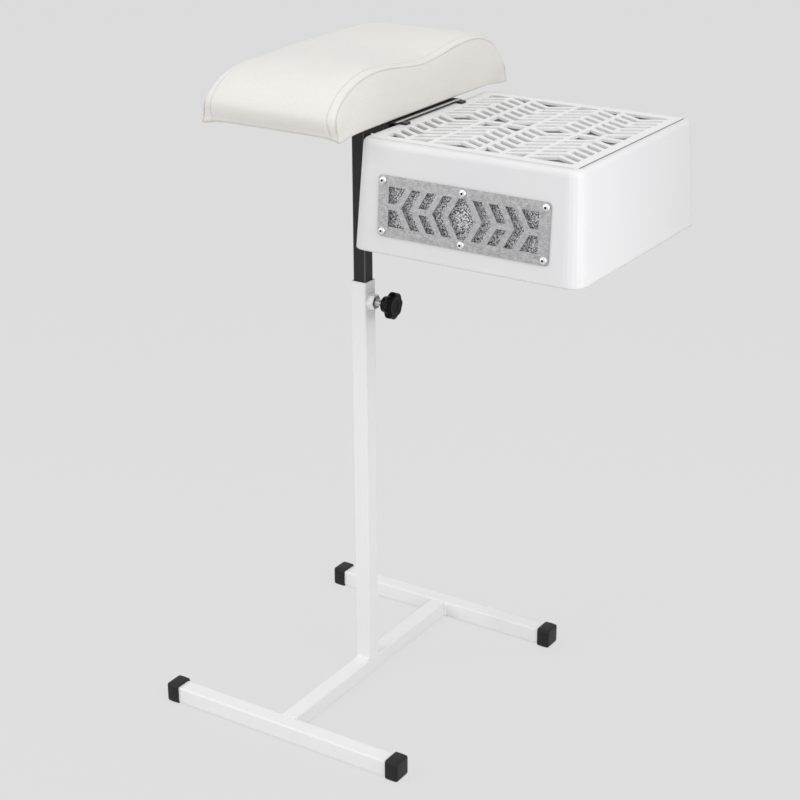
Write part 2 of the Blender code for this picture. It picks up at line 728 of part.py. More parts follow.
def wall_frame(outward, height):
    """A frame on a leaning wall: x to the right and y up the wall as seen from outside, z straight out."""
    outward = Vector(outward)
    up = Vector((0, 0, 1))
    right = up.cross(outward)
    lean = math.atan2(HOOD_DRAFT, HOOD_HEIGHT)
    along = up * math.cos(lean) - outward * math.sin(lean)
    normal = outward * math.cos(lean) + up * math.sin(lean)
    inset, _ = hood_inset(height)
    reach = HOOD_LENGTH / 2 if outward.x else HOOD_WIDTH / 2
    origin = Vector((HOOD_CENTRE, 0, height)) + outward * (reach - inset)
    frame = Matrix((right, along, normal)).transposed().to_4x4()
    return Matrix.Translation(origin) @ frame


NEAR_WALL = (0, -1, 0)
FAR_WALL = (0, 1, 0)
REAR_WALL = (-1, 0, 0)


def boss_places():
    """The four screw bosses, sunk into the hood's inner corners."""
    corner = HOOD_CORNER - HOOD_WALL
    reach = (corner - BOSS_RADIUS + BOSS_SINK) * math.sqrt(0.5)
    x = HOOD_LENGTH / 2 - HOOD_CORNER + reach
    y = HOOD_WIDTH / 2 - HOOD_CORNER + reach
    return [(HOOD_CENTRE + sx * x, sy * y) for sx, sy in ((1, 1), (-1, 1), (-1, -1), (1, -1))]


def hood(carrier, plastic, bright):
    """The moulded hood with its rim, ledge, windows and bosses, and the plate that closes it below."""
    shoulder = HOOD_TOP - HOOD_EDGE
    rings = [hood_ring(HOOD_BOTTOM, HOOD_BOTTOM)]
    for step in range(4):
        angle = math.pi / 2 * step / 3
        inward = HOOD_EDGE * (1 - math.cos(angle))
        rings.append(hood_ring(shoulder + HOOD_EDGE * math.sin(angle), shoulder, inward))
    rim = (RIM_FRONT, RIM_SIDE - RIM_FRONT, OPENING_CORNER)
    rings.append(hood_ring(HOOD_TOP, HOOD_TOP, *rim))
    rings.append(hood_ring(LEDGE_TOP, HOOD_TOP, *rim))
    mouth = (RIM_FRONT + LEDGE_WIDTH, RIM_SIDE - RIM_FRONT, OPENING_CORNER)
    rings.append(hood_ring(LEDGE_TOP, HOOD_TOP, *mouth))
    underside = LEDGE_TOP - LEDGE_THICKNESS
    rings.append(hood_ring(underside, HOOD_TOP, *mouth))
    rings.append(hood_ring(underside, underside, HOOD_WALL))
    rings.append(hood_ring(HOOD_BOTTOM, HOOD_BOTTOM, HOOD_WALL))
    shell = add_piece("hood_shell", loft(rings, closed=True), plastic, carrier)

    boss_bottom = BASE_PLATE_TOP + FIT_GAP
    for number, (x, y) in enumerate(boss_places()):
        boss = prism(circle(BOSS_RADIUS, SCREW_SIDES), boss_bottom, boss_bottom + BOSS_HEIGHT)
        weld(shell, "boss_%d" % number, moved(boss, Matrix.Translation((x, y, 0))))
    cut(shell, "boss_holes", grouped(base_screw_shapes(SCREW_CLEARANCE)))

    window_x = SIDE_PLATE_LENGTH / 2 - SIDE_PLATE_MARGIN
    window_y = SIDE_PLATE_HEIGHT / 2 - SIDE_PLATE_MARGIN
    for word, wall in (("near", NEAR_WALL), ("far", FAR_WALL)):
        frame = wall_frame(wall, HOOD_BOTTOM + SIDE_PLATE_CENTRE)
        opening = rounded_rectangle(window_x, window_y, SIDE_PLATE_CORNER)
        cut(shell, word + "_window", moved(prism(opening, -3 * HOOD_WALL, HOOD_WALL), frame))
        holes = [moved(prism(circle(SMALL_SCREW_DIAMETER / 2 + SCREW_CLEARANCE, SCREW_SIDES),
                             -3 * HOOD_WALL, HOOD_WALL), frame @ Matrix.Translation((x, y, 0)))
                 for x, y in plate_screw_places()]
        cut(shell, word + "_screw_holes", grouped(holes))

    rear = wall_frame(REAR_WALL, HOOD_BOTTOM + FITTING_HEIGHT)
    for name, offset, width, height in (("switch_cutout", SWITCH_OFFSET, SWITCH_WIDTH, SWITCH_HEIGHT),
                                        ("inlet_cutout", INLET_OFFSET, INLET_WIDTH, INLET_HEIGHT)):
        window = rounded_rectangle(width / 2 + FIT_GAP, height / 2 + FIT_GAP, FIT_GAP * 3)
        cutter = prism(window, -3 * HOOD_WALL, HOOD_WALL)
        cut(shell, name, moved(cutter, rear @ Matrix.Translation((-offset, 0, 0))))

    plate_bottom = HOOD_BOTTOM + BASE_PLATE_INSET
    tight = HOOD_WALL + FIT_GAP
    plate = add_piece("base_plate", loft([
        hood_ring(plate_bottom, BASE_PLATE_TOP, tight),
        hood_ring(BASE_PLATE_TOP, BASE_PLATE_TOP, tight),
    ]), plastic, carrier)
    cut(plate, "base_plate_holes", grouped(base_screw_shapes(SCREW_CLEARANCE)))
    add_each("base_screw", base_screw_shapes(0.0), bright, carrier)


def base_screw_shapes(swell):
    """The four base screws, or their holes when swollen by a clearance."""
    seat = HOOD_BOTTOM + BASE_PLATE_INSET - FIT_GAP
    shapes = []
    for x, y in boss_places():
        if swell:
            shape = prism(circle(SMALL_SCREW_DIAMETER / 2 + swell, SCREW_SIDES),
                          seat, seat + SMALL_SCREW_LENGTH + FIT_GAP)
        else:
            shape = pan_screw(SMALL_SCREW_DIAMETER, SMALL_SCREW_LENGTH, PAN_HEAD_DIAMETER, PAN_HEAD_HEIGHT)
            shape = moved(shape, Matrix.Translation((0, 0, seat)) @ Matrix.Rotation(math.pi, 4, "X"))
        shapes.append(moved(shape, Matrix.Translation((x, y, 0))))
    return shapes


# Slotted panels
def chevron_slots(length, height, slot, bar, pointing):
    """Sixty-degree chevron slots in a band, mirrored at its middle, every second one split by a bar.

    Each slot is a V between two slanted lines. Pointing 1 turns the chevrons outwards from a diamond in
    the middle, and -1 turns them inwards from a half diamond at each end. The corners that the last
    chevron leaves are cut out as well, each side of a bar.
    """
    steep = math.radians(60)
    width = slot / math.sin(steep)
    rib = bar / math.sin(steep)
    top = height / 2
    slant = top / math.tan(steep)
    limit = length / 2 if pointing > 0 else length / 2 - rib / 2
    pitch = width + rib
    count = int((limit - rib / 2 - slant) / pitch)
    spare = limit - rib / 2 - slant - count * pitch
    first = (rib + spare) / 2
    split = slant * (1 - bar / height)

    def two_arms(foot, far_top, far_middle):
        arm = [(foot, top), (foot + split, bar / 2), (far_middle, bar / 2), (far_top, top)]
        return [arm, [(u, -v) for u, v in arm]]

    shapes = []
    for number in range(count):
        foot = first + number * pitch
        end = foot + width
        if number % 2:
            shapes += two_arms(foot, end, end + split)
        else:
            shapes.append([(foot, -top), (end, -top), (end + slant, 0), (end, top), (foot, top),
                           (foot + slant, 0)])
    shapes += two_arms(first + count * pitch, limit, limit)

    tip = first + slant - rib
    flat = max(first - rib, 0.0)
    peak = top * min(1 - (rib - first) / slant, 1.0)
    if pointing > 0:
        middle = [(tip, 0), (flat, peak), (-flat, peak), (-tip, 0), (-flat, -peak), (flat, -peak)]
        ends = []
    else:
        middle = []
        ends = [[(tip, 0), (flat, peak), (0, peak), (0, -peak), (flat, -peak)]]
    if not flat:
        middle = [point for number, point in enumerate(middle) if number not in (2, 5)]
        ends = [[(tip, 0), (0, peak), (0, -peak)] for _ in ends]
    shapes += ends
    if pointing < 0:
        shapes = [[(length / 2 - u, v) for u, v in shape] for shape in shapes]
    shapes += [[(-u, v) for u, v in shape] for shape in shapes]
    return shapes + [middle] if middle else shapes


def slot_cutters(shapes, low, high):
    """Draw slot outlines through a panel."""
    return grouped([prism(shape, low, high) for shape in shapes])


def plate_screw_places():
    """Six screws round a side plate: its corners and the middles of its long edges."""
    x = SIDE_PLATE_LENGTH / 2 - PLATE_SCREW_INSET
    y = SIDE_PLATE_HEIGHT / 2 - PLATE_SCREW_INSET
    return [(column * x, row * y) for row in (-1, 1) for column in (-1, 0, 1)]


def exhaust_side(word, wall, carrier, steel, wool, bright):
    """One exhaust side: a slotted steel plate screwed outside the window and a filter pad behind it."""
    frame = wall_frame(wall, HOOD_BOTTOM + SIDE_PLATE_CENTRE)
    outline = rounded_rectangle(SIDE_PLATE_LENGTH / 2, SIDE_PLATE_HEIGHT / 2, SIDE_PLATE_CORNER)
    face = FIT_GAP + SIDE_PLATE_THICKNESS
    plate = add_piece("side_plate_" + word, moved(prism(outline, FIT_GAP, face), frame), steel, carrier)
    band_length = SIDE_PLATE_LENGTH - 2 * SIDE_PLATE_MARGIN - SIDE_BAR
    band_height = SIDE_PLATE_HEIGHT - 2 * SIDE_PLATE_MARGIN - SIDE_BAR / 2
    slots = chevron_slots(band_length, band_height, SIDE_SLOT, SIDE_BAR, 1)
    cut(plate, word + "_plate_slots", moved(slot_cutters(slots, 0, 2 * face), frame))

    screws = []
    holes = []
    for x, y in plate_screw_places():
        place = frame @ Matrix.Translation((x, y, face + FIT_GAP))
        hole = prism(circle(SMALL_SCREW_DIAMETER / 2 + SCREW_CLEARANCE, SCREW_SIDES), -2 * face, face)
        holes.append(moved(hole, place))
        screw = pan_screw(SMALL_SCREW_DIAMETER, SMALL_SCREW_LENGTH, PAN_HEAD_DIAMETER, PAN_HEAD_HEIGHT)
        screws.append(moved(screw, place))
    cut(plate, word + "_plate_holes", grouped(holes))
    add_each(word + "_plate_screw", screws, bright, carrier)

    inside_screws = PLATE_SCREW_INSET + SMALL_SCREW_DIAMETER / 2 + SCREW_CLEARANCE
    pad = rounded_rectangle(SIDE_PLATE_LENGTH / 2 - inside_screws, SIDE_PLATE_HEIGHT / 2 - inside_screws,
                            SIDE_PLATE_CORNER)
    lean = math.atan2(HOOD_DRAFT, HOOD_HEIGHT)
    front = -HOOD_WALL * math.cos(lean) - FIT_GAP
    shape = prism(pad, front - EXHAUST_FILTER_THICKNESS, front)
    add_piece("exhaust_filter_" + word, moved(shape, frame), wool, carrier)


def grille(carrier, plastic):
    """The lift-out top panel, dropped into the rim, with bands of chevron slots and notches for the tabs."""
    inset, _ = hood_inset(HOOD_TOP)
    half_x = HOOD_LENGTH / 2 - inset - RIM_FRONT - FIT_GAP
    half_y = HOOD_WIDTH / 2 - inset - RIM_SIDE - FIT_GAP
    outline = rounded_rectangle(half_x, half_y, OPENING_CORNER - FIT_GAP, HOOD_CORNER_STEPS)
    place = Matrix.Translation((HOOD_CENTRE, 0, 0))
    panel = add_piece("top_grille", moved(prism(outline, GRILLE_BOTTOM, HOOD_TOP), place), plastic, carrier)
    band_pitch = (2 * half_x - 2 * GRILLE_MARGIN + GRILLE_BAR) / GRILLE_BANDS
    band_height = band_pitch - GRILLE_BAR
    cutters = []
    for band in range(GRILLE_BANDS):
        slots = chevron_slots(2 * half_y - 2 * GRILLE_MARGIN, band_height, GRILLE_SLOT, GRILLE_BAR,
                              -1 if band % 2 else 1)
        offset = band_pitch * (band - (GRILLE_BANDS - 1) / 2)
        turn = place @ Matrix.Translation((offset, 0, 0)) @ Matrix.Rotation(math.pi / 2, 4, "Z")
        cutters.append(moved(slot_cutters(slots, GRILLE_BOTTOM - FIT_GAP, HOOD_TOP + FIT_GAP), turn))
    cut(panel, "grille_slots", grouped(cutters))

    notch_half = TAB_WIDTH / 2 + TAB_CLEARANCE
    notch_end = tab_leg_place()[1] + TAB_CLEARANCE
    for side, word in ((-1, "near"), (1, "far")):
        middle = side * TAB_SPACING / 2
        notch = block((rim_edge() - RIM_FRONT, middle - notch_half, GRILLE_BOTTOM - FIT_GAP),
                      (notch_end, middle + notch_half, HOOD_TOP + FIT_GAP))
        cut(panel, word + "_tab_notch", notch)


def filter_and_tray(carrier, fibre, plastic, bright):
    """The dust filter under the grille, with a finger notch, and the tray that carries it and the fan."""
    inset, _ = hood_inset(HOOD_TOP)
    half_x = HOOD_LENGTH / 2 - inset - RIM_FRONT - LEDGE_WIDTH - FILTER_MARGIN
    half_y = HOOD_WIDTH / 2 - inset - RIM_SIDE - LEDGE_WIDTH - FILTER_MARGIN
    pad = add_piece("filter_pad", block((HOOD_CENTRE - half_x, -half_y, FILTER_BOTTOM),
                                        (HOOD_CENTRE + half_x, half_y - FILTER_FAR_GAP, FILTER_TOP)),
                    fibre, carrier)
    corner = HOOD_CENTRE + half_x
    notch = block((corner - FILTER_NOTCH_LENGTH, -half_y - FILTER_MARGIN, FILTER_BOTTOM - FIT_GAP),
                  (corner + FILTER_MARGIN, -half_y + FILTER_NOTCH_WIDTH, FILTER_TOP + FIT_GAP))
    cut(pad, "finger_notch", notch)

    tight = HOOD_WALL + FIT_GAP
    tray = add_piece("filter_tray", loft([
        hood_ring(TRAY_BOTTOM, TRAY_TOP, tight),
        hood_ring(TRAY_TOP, TRAY_TOP, tight),
    ]), plastic, carrier)
    throat = prism(circle(FAN_BORE / 2, BORE_SIDES), TRAY_BOTTOM - FIT_GAP, TRAY_TOP + FIT_GAP)
    cut(tray, "tray_throat", moved(throat, Matrix.Translation((HOOD_CENTRE, 0, 0))))
    overlap = FAN_BORE / 2 + FAN_STRUT_WIDTH / 2
    half_bar = FAN_STRUT_WIDTH / 2
    for number, (reach_x, reach_y) in enumerate(((overlap, half_bar), (half_bar, overlap))):
        bar = block((HOOD_CENTRE - reach_x, -reach_y, TRAY_BOTTOM), (HOOD_CENTRE + reach_x, reach_y, TRAY_TOP))
        weld(tray, "tray_bar_%d" % number, bar)
    cut(tray, "tray_bolt_holes", grouped(fan_bolt_holes()))

    bolts = []
    length = TRAY_THICKNESS + FAN_FLANGE + 3 * FIT_GAP
    for x, y in fan_bolt_places():
        bolt = pan_screw(FAN_BOLT_DIAMETER, length, FAN_BOLT_DIAMETER * 1.8, FAN_BOLT_DIAMETER * 0.55)
        turn = Matrix.Rotation(math.pi, 4, "X")
        bolts.append(moved(bolt, Matrix.Translation((x, y, FAN_TOP - FAN_FLANGE - FIT_GAP)) @ turn))
    add_each("fan_bolt", bolts, bright, carrier)


# Fan
def fan_bolt_places():
    """Four bolts near the corners of the fan's frame."""
    reach = FAN_SIDE / 2 - FAN_BOLT_INSET
    return [(HOOD_CENTRE + sx * reach, sy * reach) for sx, sy in ((1, 1), (-1, 1), (-1, -1), (1, -1))]


def fan_bolt_holes():
    """Clearance holes for the fan's bolts through tray and flange."""
    holes = []
    for x, y in fan_bolt_places():
        hole = prism(circle(FAN_BOLT_DIAMETER / 2 + SCREW_CLEARANCE, SCREW_SIDES),
                     FAN_TOP - FAN_FLANGE - 3 * FIT_GAP, TRAY_TOP + FIT_GAP)
        holes.append(moved(hole, Matrix.Translation((x, y, 0))))
    return holes


def blade(angle):
    """One twisted fan blade, from inside the hub to near the bore, as a skin of four sections."""
    root = FAN_HUB_DIAMETER / 2 - FAN_BLADE_THICKNESS
    tip = FAN_BORE / 2 - FAN_TIP_CLEARANCE
    sections = []
    for station in range(4):
        along = station / 3
        radius = root + (tip - root) * along
        chord = FAN_HUB_DEPTH * (1.15 + 0.35 * along)
        pitch = math.radians(42 - 20 * along)
        outline = []
        for across, thick in ((-0.5, 0), (-0.15, 0.5), (0.25, 0.5), (0.5, 0), (0.25, -0.5), (-0.15, -0.5)):
            u = across * chord
            bow = FAN_BLADE_THICKNESS * (1.6 - 6.4 * across * across)
            w = thick * FAN_BLADE_THICKNESS + bow
            run = u * math.cos(pitch) - w * math.sin(pitch)
            rise = u * math.sin(pitch) + w * math.cos(pitch)
            turn = run / radius
            outline.append(Vector((radius * math.cos(turn), radius * math.sin(turn), rise)))
        sections.append(outline)
    return moved(loft(sections), Matrix.Rotation(angle, 4, "Z"))


def fan(carrier, rotor_carrier, plastic, metal):
    """An axial fan under the tray: moulded frame with struts, motor can, and a bladed rotor on its shaft."""
    place = Matrix.Translation((HOOD_CENTRE, 0, 0))
    corner = FAN_BOLT_INSET
    outline = rounded_rectangle(FAN_SIDE / 2, FAN_SIDE / 2, corner)
    frame = add_piece("fan_frame", moved(prism(outline, FAN_BOTTOM, FAN_TOP), place), plastic, carrier)
    scoop = (FAN_SIDE / 2 + FAN_FLANGE) * 2
    waist_low = FAN_BOTTOM + FAN_FLANGE
    waist_high = FAN_TOP - FAN_FLANGE
    duct = FAN_BORE / 2 + FAN_FLANGE / 2
    waist = loft([
        ring(circle(duct, BORE_SIDES), waist_low),
        ring(circle(scoop, BORE_SIDES), waist_low),
        ring(circle(scoop, BORE_SIDES), waist_high),
        ring(circle(duct, BORE_SIDES), waist_high),
    ], closed=True)
    cut(frame, "fan_waist", moved(waist, place))
    bore = prism(circle(FAN_BORE / 2, BORE_SIDES), FAN_BOTTOM - FIT_GAP, FAN_TOP + FIT_GAP)
    cut(frame, "fan_bore", moved(bore, place))
    motor_radius = FAN_HUB_DIAMETER / 2
    strut_top = FAN_BOTTOM + FAN_STRUT_DEPTH
    reach = FAN_BORE / 2 + FAN_FLANGE / 4
    for number, (half_x, half_y) in enumerate(((reach, FAN_STRUT_WIDTH / 2), (FAN_STRUT_WIDTH / 2, reach))):
        strut = block((HOOD_CENTRE - half_x, -half_y, FAN_BOTTOM), (HOOD_CENTRE + half_x, half_y, strut_top))
        weld(frame, "fan_strut_%d" % number, strut)
    cup = prism(circle(motor_radius, ROUND_SIDES), FAN_BOTTOM, strut_top)
    weld(frame, "motor_seat", moved(cup, place))
    cut(frame, "fan_bolt_holes", grouped(fan_bolt_holes()))

    can_bottom = strut_top + FIT_GAP
    rotor_top = FAN_TOP - FAN_FLANGE
    rotor_bottom = rotor_top - FAN_HUB_DEPTH
    can_top = rotor_bottom - FAN_RUN_CLEARANCE
    bearing = FAN_SHAFT_DIAMETER / 2 + SCREW_CLEARANCE
    can = loft([
        ring(circle(bearing), can_bottom + FAN_FLANGE / 2),
        ring(circle(bearing), can_top),
        ring(circle(motor_radius * 0.86), can_top),
        ring(circle(motor_radius * 0.92), can_top - FAN_FLANGE / 2),
        ring(circle(motor_radius * 0.92), can_bottom),
    ])
    add_piece("fan_motor", moved(can, place), metal, carrier)

    shaft = FAN_SHAFT_DIAMETER / 2
    hub = loft([
        ring(circle(shaft), can_bottom + FAN_FLANGE / 2 + FIT_GAP),
        ring(circle(shaft), rotor_bottom),
        ring(circle(motor_radius), rotor_bottom),
        ring(circle(motor_radius), rotor_top - FAN_FLANGE / 2),
        ring(circle(motor_radius * 0.9), rotor_top),
    ])
    rotor = add_piece("fan_rotor", moved(hub, place), plastic, rotor_carrier)
    middle = Matrix.Translation((HOOD_CENTRE, 0, (rotor_top + rotor_bottom) / 2))
    for number in range(FAN_BLADES):
        weld(rotor, "blade_%d" % number, moved(blade(2 * math.pi * number / FAN_BLADES), middle))


# Switch and inlet
def recessed_body(width, height, depth, flange, lap, wall, recess):
    """A panel fitting: a flange outside the wall, a body through it, and a pocket open to the outside."""
    corner = lap / 2
    inner = rounded_rectangle(width / 2 - wall, height / 2 - wall, corner)
    body = rounded_rectangle(width / 2, height / 2, corner)
    collar = rounded_rectangle(width / 2 + lap, height / 2 + lap, corner)
    return loft([
        ring(inner, FIT_GAP + flange - recess),
        ring(inner, FIT_GAP + flange),
        ring(collar, FIT_GAP + flange),
        ring(collar, FIT_GAP),
        ring(body, FIT_GAP),
        ring(body, -depth),
    ])


def rear_fittings(carrier, rocker_carrier, plastic):
    """The rocker switch and the mains inlet, both set in the hood's rear wall."""
    rear = wall_frame(REAR_WALL, HOOD_BOTTOM + FITTING_HEIGHT)
    wall = SWITCH_LAP
    switch = recessed_body(SWITCH_WIDTH, SWITCH_HEIGHT, SWITCH_DEPTH, SWITCH_FLANGE, SWITCH_LAP, wall,
                           SWITCH_RECESS)
    place = rear @ Matrix.Translation((-SWITCH_OFFSET, 0, 0))
    frame = add_piece("switch_frame", moved(switch, place), plastic, carrier)

    half_u = SWITCH_WIDTH / 2 - wall - ROCKER_CLEARANCE
    half_v = SWITCH_HEIGHT / 2 - wall - ROCKER_CLEARANCE
    raised = ROCKER_CREST + half_v * math.sin(ROCKER_TILT)
    belly = half_v * 0.7
    outline = [(-half_v, raised), (0, ROCKER_CREST), (half_v, raised), (belly, -ROCKER_CREST),
               (-belly, -ROCKER_CREST)]
    key = loft([[Vector((side * half_u, v, w)) for v, w in outline] for side in (-1, 1)])
    axis = rocker_place()
    tilt = Matrix.Rotation(ROCKER_TILT, 4, "X")
    rocker = add_piece("switch_rocker", moved(key, axis @ tilt), plastic, rocker_carrier)
    pin_reach = half_u + ROCKER_CLEARANCE + wall / 2
    pin = prism(circle(ROCKER_PIN / 2, SCREW_SIDES), -pin_reach, pin_reach)
    weld(rocker, "rocker_pin", moved(pin, axis @ ALONG_X))
    socket_reach = pin_reach + FIT_GAP
    socket = prism(circle(ROCKER_PIN / 2 + FIT_GAP, SCREW_SIDES), -socket_reach, socket_reach)
    cut(frame, "rocker_pin_sockets", moved(socket, axis @ ALONG_X))

    inlet = recessed_body(INLET_WIDTH, INLET_HEIGHT, INLET_DEPTH, INLET_FLANGE, INLET_LAP, INLET_WALL,
                          INLET_RECESS)
    place = rear @ Matrix.Translation((-INLET_OFFSET, 0, 0))
    inlet_body = add_piece("power_inlet", moved(inlet, place), plastic, carrier)
    floor = FIT_GAP + INLET_FLANGE - INLET_RECESS
    for number, (column, row) in enumerate(((-1, -0.5), (0, 0.5), (1, -0.5))):
        u = column * PIN_PITCH
        v = row * PIN_HEIGHT
        pin = block((u - PIN_WIDTH / 2, v - PIN_HEIGHT / 2, floor - PIN_WIDTH),
                    (u + PIN_WIDTH / 2, v + PIN_HEIGHT / 2, floor + PIN_LENGTH))
        weld(inlet_body, "inlet_pin_%d" % number, moved(pin, place))


def rocker_place():
    """The rocker's pin on the rear wall: it lies level, a little below the switch's flange."""
    rear = wall_frame(REAR_WALL, HOOD_BOTTOM + FITTING_HEIGHT)
    return rear @ Matrix.Translation((-SWITCH_OFFSET, 0, FIT_GAP + SWITCH_FLANGE - ROCKER_CREST))


def main():
    """Clear the scene and build the footrest."""
    for old in list(bpy.data.objects):
        bpy.data.objects.remove(old)

    white_paint = finish("white powder-coated steel", (0.82, 0.82, 0.83), 0.38)
    black_paint = finish("black powder-coated steel", (0.035, 0.035, 0.037), 0.45)
    bright_steel = finish("zinc-plated steel", (0.70, 0.70, 0.70), 0.30, 1.0)
    brushed_steel = finish("brushed stainless steel", (0.56, 0.56, 0.57), 0.34, 1.0)
    black_plastic = finish("black moulded plastic", (0.02, 0.02, 0.021), 0.40)
    white_plastic = finish("white moulded plastic", (0.84, 0.84, 0.85), 0.32)
    leather = finish("cream leatherette", (0.80, 0.77, 0.72), 0.42)
    plywood = finish("birch plywood", (0.58, 0.43, 0.27), 0.60)
    fibre = finish("grey filter fibre", (0.55, 0.55, 0.56), 0.90)
    wool = finish("metal filter wool", (0.40, 0.40, 0.41), 0.55, 0.6)
    motor_metal = finish("cast aluminium", (0.50, 0.50, 0.51), 0.42, 1.0)

    assembly = pivot("assembly", (0, 0, 0))
    head = pivot("height_slide", (0, 0, COLUMN_TOP), assembly)
    knob_start = TUBE_SIDE / 2 + FIT_GAP + NUT_THICKNESS + KNOB_STANDOFF
    stud_axis = pivot("clamp_advance", (POST_SIDE / 2 + FIT_GAP, 0, CLAMP_HEIGHT), assembly)
    knob_axis = pivot("clamp_turn", (knob_start, 0, CLAMP_HEIGHT), stud_axis)
    grille_lift = pivot("grille_lift", (HOOD_CENTRE, 0, GRILLE_BOTTOM), head)
    fan_axis = pivot("fan_spin", (HOOD_CENTRE, 0, FAN_TOP), head)
    rocker_axis = pivot("rocker_tilt", tuple(rocker_place().translation), head)

    stand(assembly, white_paint, black_plastic)
    clamp_nut(assembly, white_paint)
    clamp_screw(stud_axis, knob_axis, bright_steel, black_plastic)
    post_and_bracket(head, black_paint)
    hanger(head, black_paint, bright_steel)
    cushion(head, leather, plywood, bright_steel)
    hood(head, white_plastic, bright_steel)
    exhaust_side("near", NEAR_WALL, head, brushed_steel, wool, bright_steel)
    exhaust_side("far", FAR_WALL, head, brushed_steel, wool, bright_steel)
    grille(grille_lift, white_plastic)
    filter_and_tray(head, fibre, black_plastic, bright_steel)
    fan(head, fan_axis, black_plastic, motor_metal)
    rear_fittings(head, rocker_axis, black_plastic)


main()
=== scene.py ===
# %% [markdown]
# # Looks for a pedicure footrest with a dust extractor
#
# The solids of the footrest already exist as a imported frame: a welded stand, a post that slides in its
# column, a calf cushion and an extractor hung beside it. This lesson dresses that frame. Rigid pieces
# keep their solids and get finishes; the soft ones and the fine ones get new surfaces worked out with numpy.

# %% Load the frame
import math

import bpy
import numpy as np
from mathutils import Matrix, Vector


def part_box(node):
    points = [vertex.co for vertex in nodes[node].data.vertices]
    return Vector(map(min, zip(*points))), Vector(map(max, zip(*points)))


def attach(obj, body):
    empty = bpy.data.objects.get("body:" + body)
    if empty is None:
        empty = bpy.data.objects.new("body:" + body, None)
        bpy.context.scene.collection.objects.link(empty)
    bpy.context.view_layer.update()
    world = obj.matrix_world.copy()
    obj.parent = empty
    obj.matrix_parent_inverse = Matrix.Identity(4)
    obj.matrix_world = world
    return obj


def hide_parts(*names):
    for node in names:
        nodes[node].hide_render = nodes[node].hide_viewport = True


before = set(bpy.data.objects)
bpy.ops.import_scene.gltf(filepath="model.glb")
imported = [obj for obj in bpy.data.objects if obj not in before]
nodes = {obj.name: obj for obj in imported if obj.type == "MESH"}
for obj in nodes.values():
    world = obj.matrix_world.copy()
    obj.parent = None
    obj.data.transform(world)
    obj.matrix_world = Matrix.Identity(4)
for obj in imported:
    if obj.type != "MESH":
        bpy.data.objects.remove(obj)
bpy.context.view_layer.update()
MM = 0.001

# %% [markdown]
# ## Camera
#
# The camera's place was solved beforehand from the straight edges of the stand. It could be aimed with a
# Track To constraint, but three angles written down are plainer and leave nothing to evaluate: the view
# turns to the left of +Y, looks down, and rolls by a fraction of a degree.

# %% Camera
YAW, PITCH, ROLL = math.radians(32.787), math.radians(22.276), math.radians(-0.234)
CAMERA_PLACE, LENS_MM, SENSOR_MM = (1.00923, -1.62987, 1.16293), 82.754, 36.0
level_forward = Vector((-math.sin(YAW), math.cos(YAW), 0))
level_right = Vector((math.cos(YAW), math.sin(YAW), 0))
forward = level_forward * math.cos(PITCH) - Vector((0, 0, 1)) * math.sin(PITCH)
level_up = level_right.cross(forward)
right = level_right * math.cos(ROLL) + level_up * math.sin(ROLL)
up = level_up * math.cos(ROLL) - level_right * math.sin(ROLL)

camera_data = bpy.data.cameras.new("camera")
camera_data.sensor_width = SENSOR_MM
camera_data.lens = LENS_MM
camera = bpy.data.objects.new("camera", camera_data)
bpy.context.collection.objects.link(camera)
axes = Matrix((right, up, -forward)).transposed().to_4x4()
camera.matrix_world = Matrix.Translation(CAMERA_PLACE) @ axes
bpy.context.scene.camera = camera
print("camera at", tuple(round(v, 3) for v in camera.location))

# %% [markdown]
# ## Colours and nodes
#
# Colours are written as the sRGB hex values that a paint chart or a picture editor shows, and one function
# makes them linear for the shaders. Another small function adds any shader node with its settings and its
# links, so that each finish below reads as a short list of what goes into it.


# %% Colour and node helpers
def linear(hex_colour):
    """Turn an sRGB hex colour into linear red, green, blue and an alpha of 1."""
    values = np.array([int(hex_colour[i:i + 2], 16) for i in (1, 3, 5)]) / 255
    values = np.where(values <= 0.04045, values / 12.92, ((values + 0.055) / 1.055) ** 2.4)
    return (*values.tolist(), 1.0)


def add_node(tree, kind, inputs=None, **settings):
    """Add a node, set its properties, and give its inputs values or links by name or number."""
    made = tree.nodes.new(kind)
    for name, value in settings.items():
        setattr(made, name, value)
    for socket, value in (inputs or {}).items():
        if isinstance(value, bpy.types.NodeSocket):
            tree.links.new(value, made.inputs[socket])
        else:
            made.inputs[socket].default_value = value
    return made


def new_finish(name, **sockets):
    """A material with one Principled shader, its even sockets set, and its node tree to add to."""
    material = bpy.data.materials.new(name)
    material.use_nodes = True
    tree = material.node_tree
    shader = tree.nodes["Principled BSDF"]
    for socket, value in sockets.items():
        shader.inputs[socket.replace("_", " ")].default_value = value
    return material, tree, shader


print("white paint in linear light:", [round(v, 3) for v in linear("#F2F2F2")])

# %% [markdown]
# ## Floor and light
#
# The footrest stands in a plain pale studio. The floor could be lit evenly with many lamps. Instead its
# material shows a fixed grey to the camera, to glossy and to transmitted rays, mixed with a little real
# shading, so that a trace of contact shadow stays. The world shows the same grey behind the floor's edge.

# %% Floor and world
STUDIO_GREY, SHADOW_SHARE, AMBIENT = linear("#E0E0E0"), 0.12, 0.56
FLOOR_HALF, FLOOR_Z = 30, -0.4 * MM

floor_corners = [(x * FLOOR_HALF, y * FLOOR_HALF, FLOOR_Z) for x, y in ((-1, -1), (1, -1), (1, 1), (-1, 1))]
floor_mesh = bpy.data.meshes.new("floor")
floor_mesh.from_pydata(floor_corners, [], [(0, 1, 2, 3)])
floor = bpy.data.objects.new("floor", floor_mesh)
bpy.context.collection.objects.link(floor)


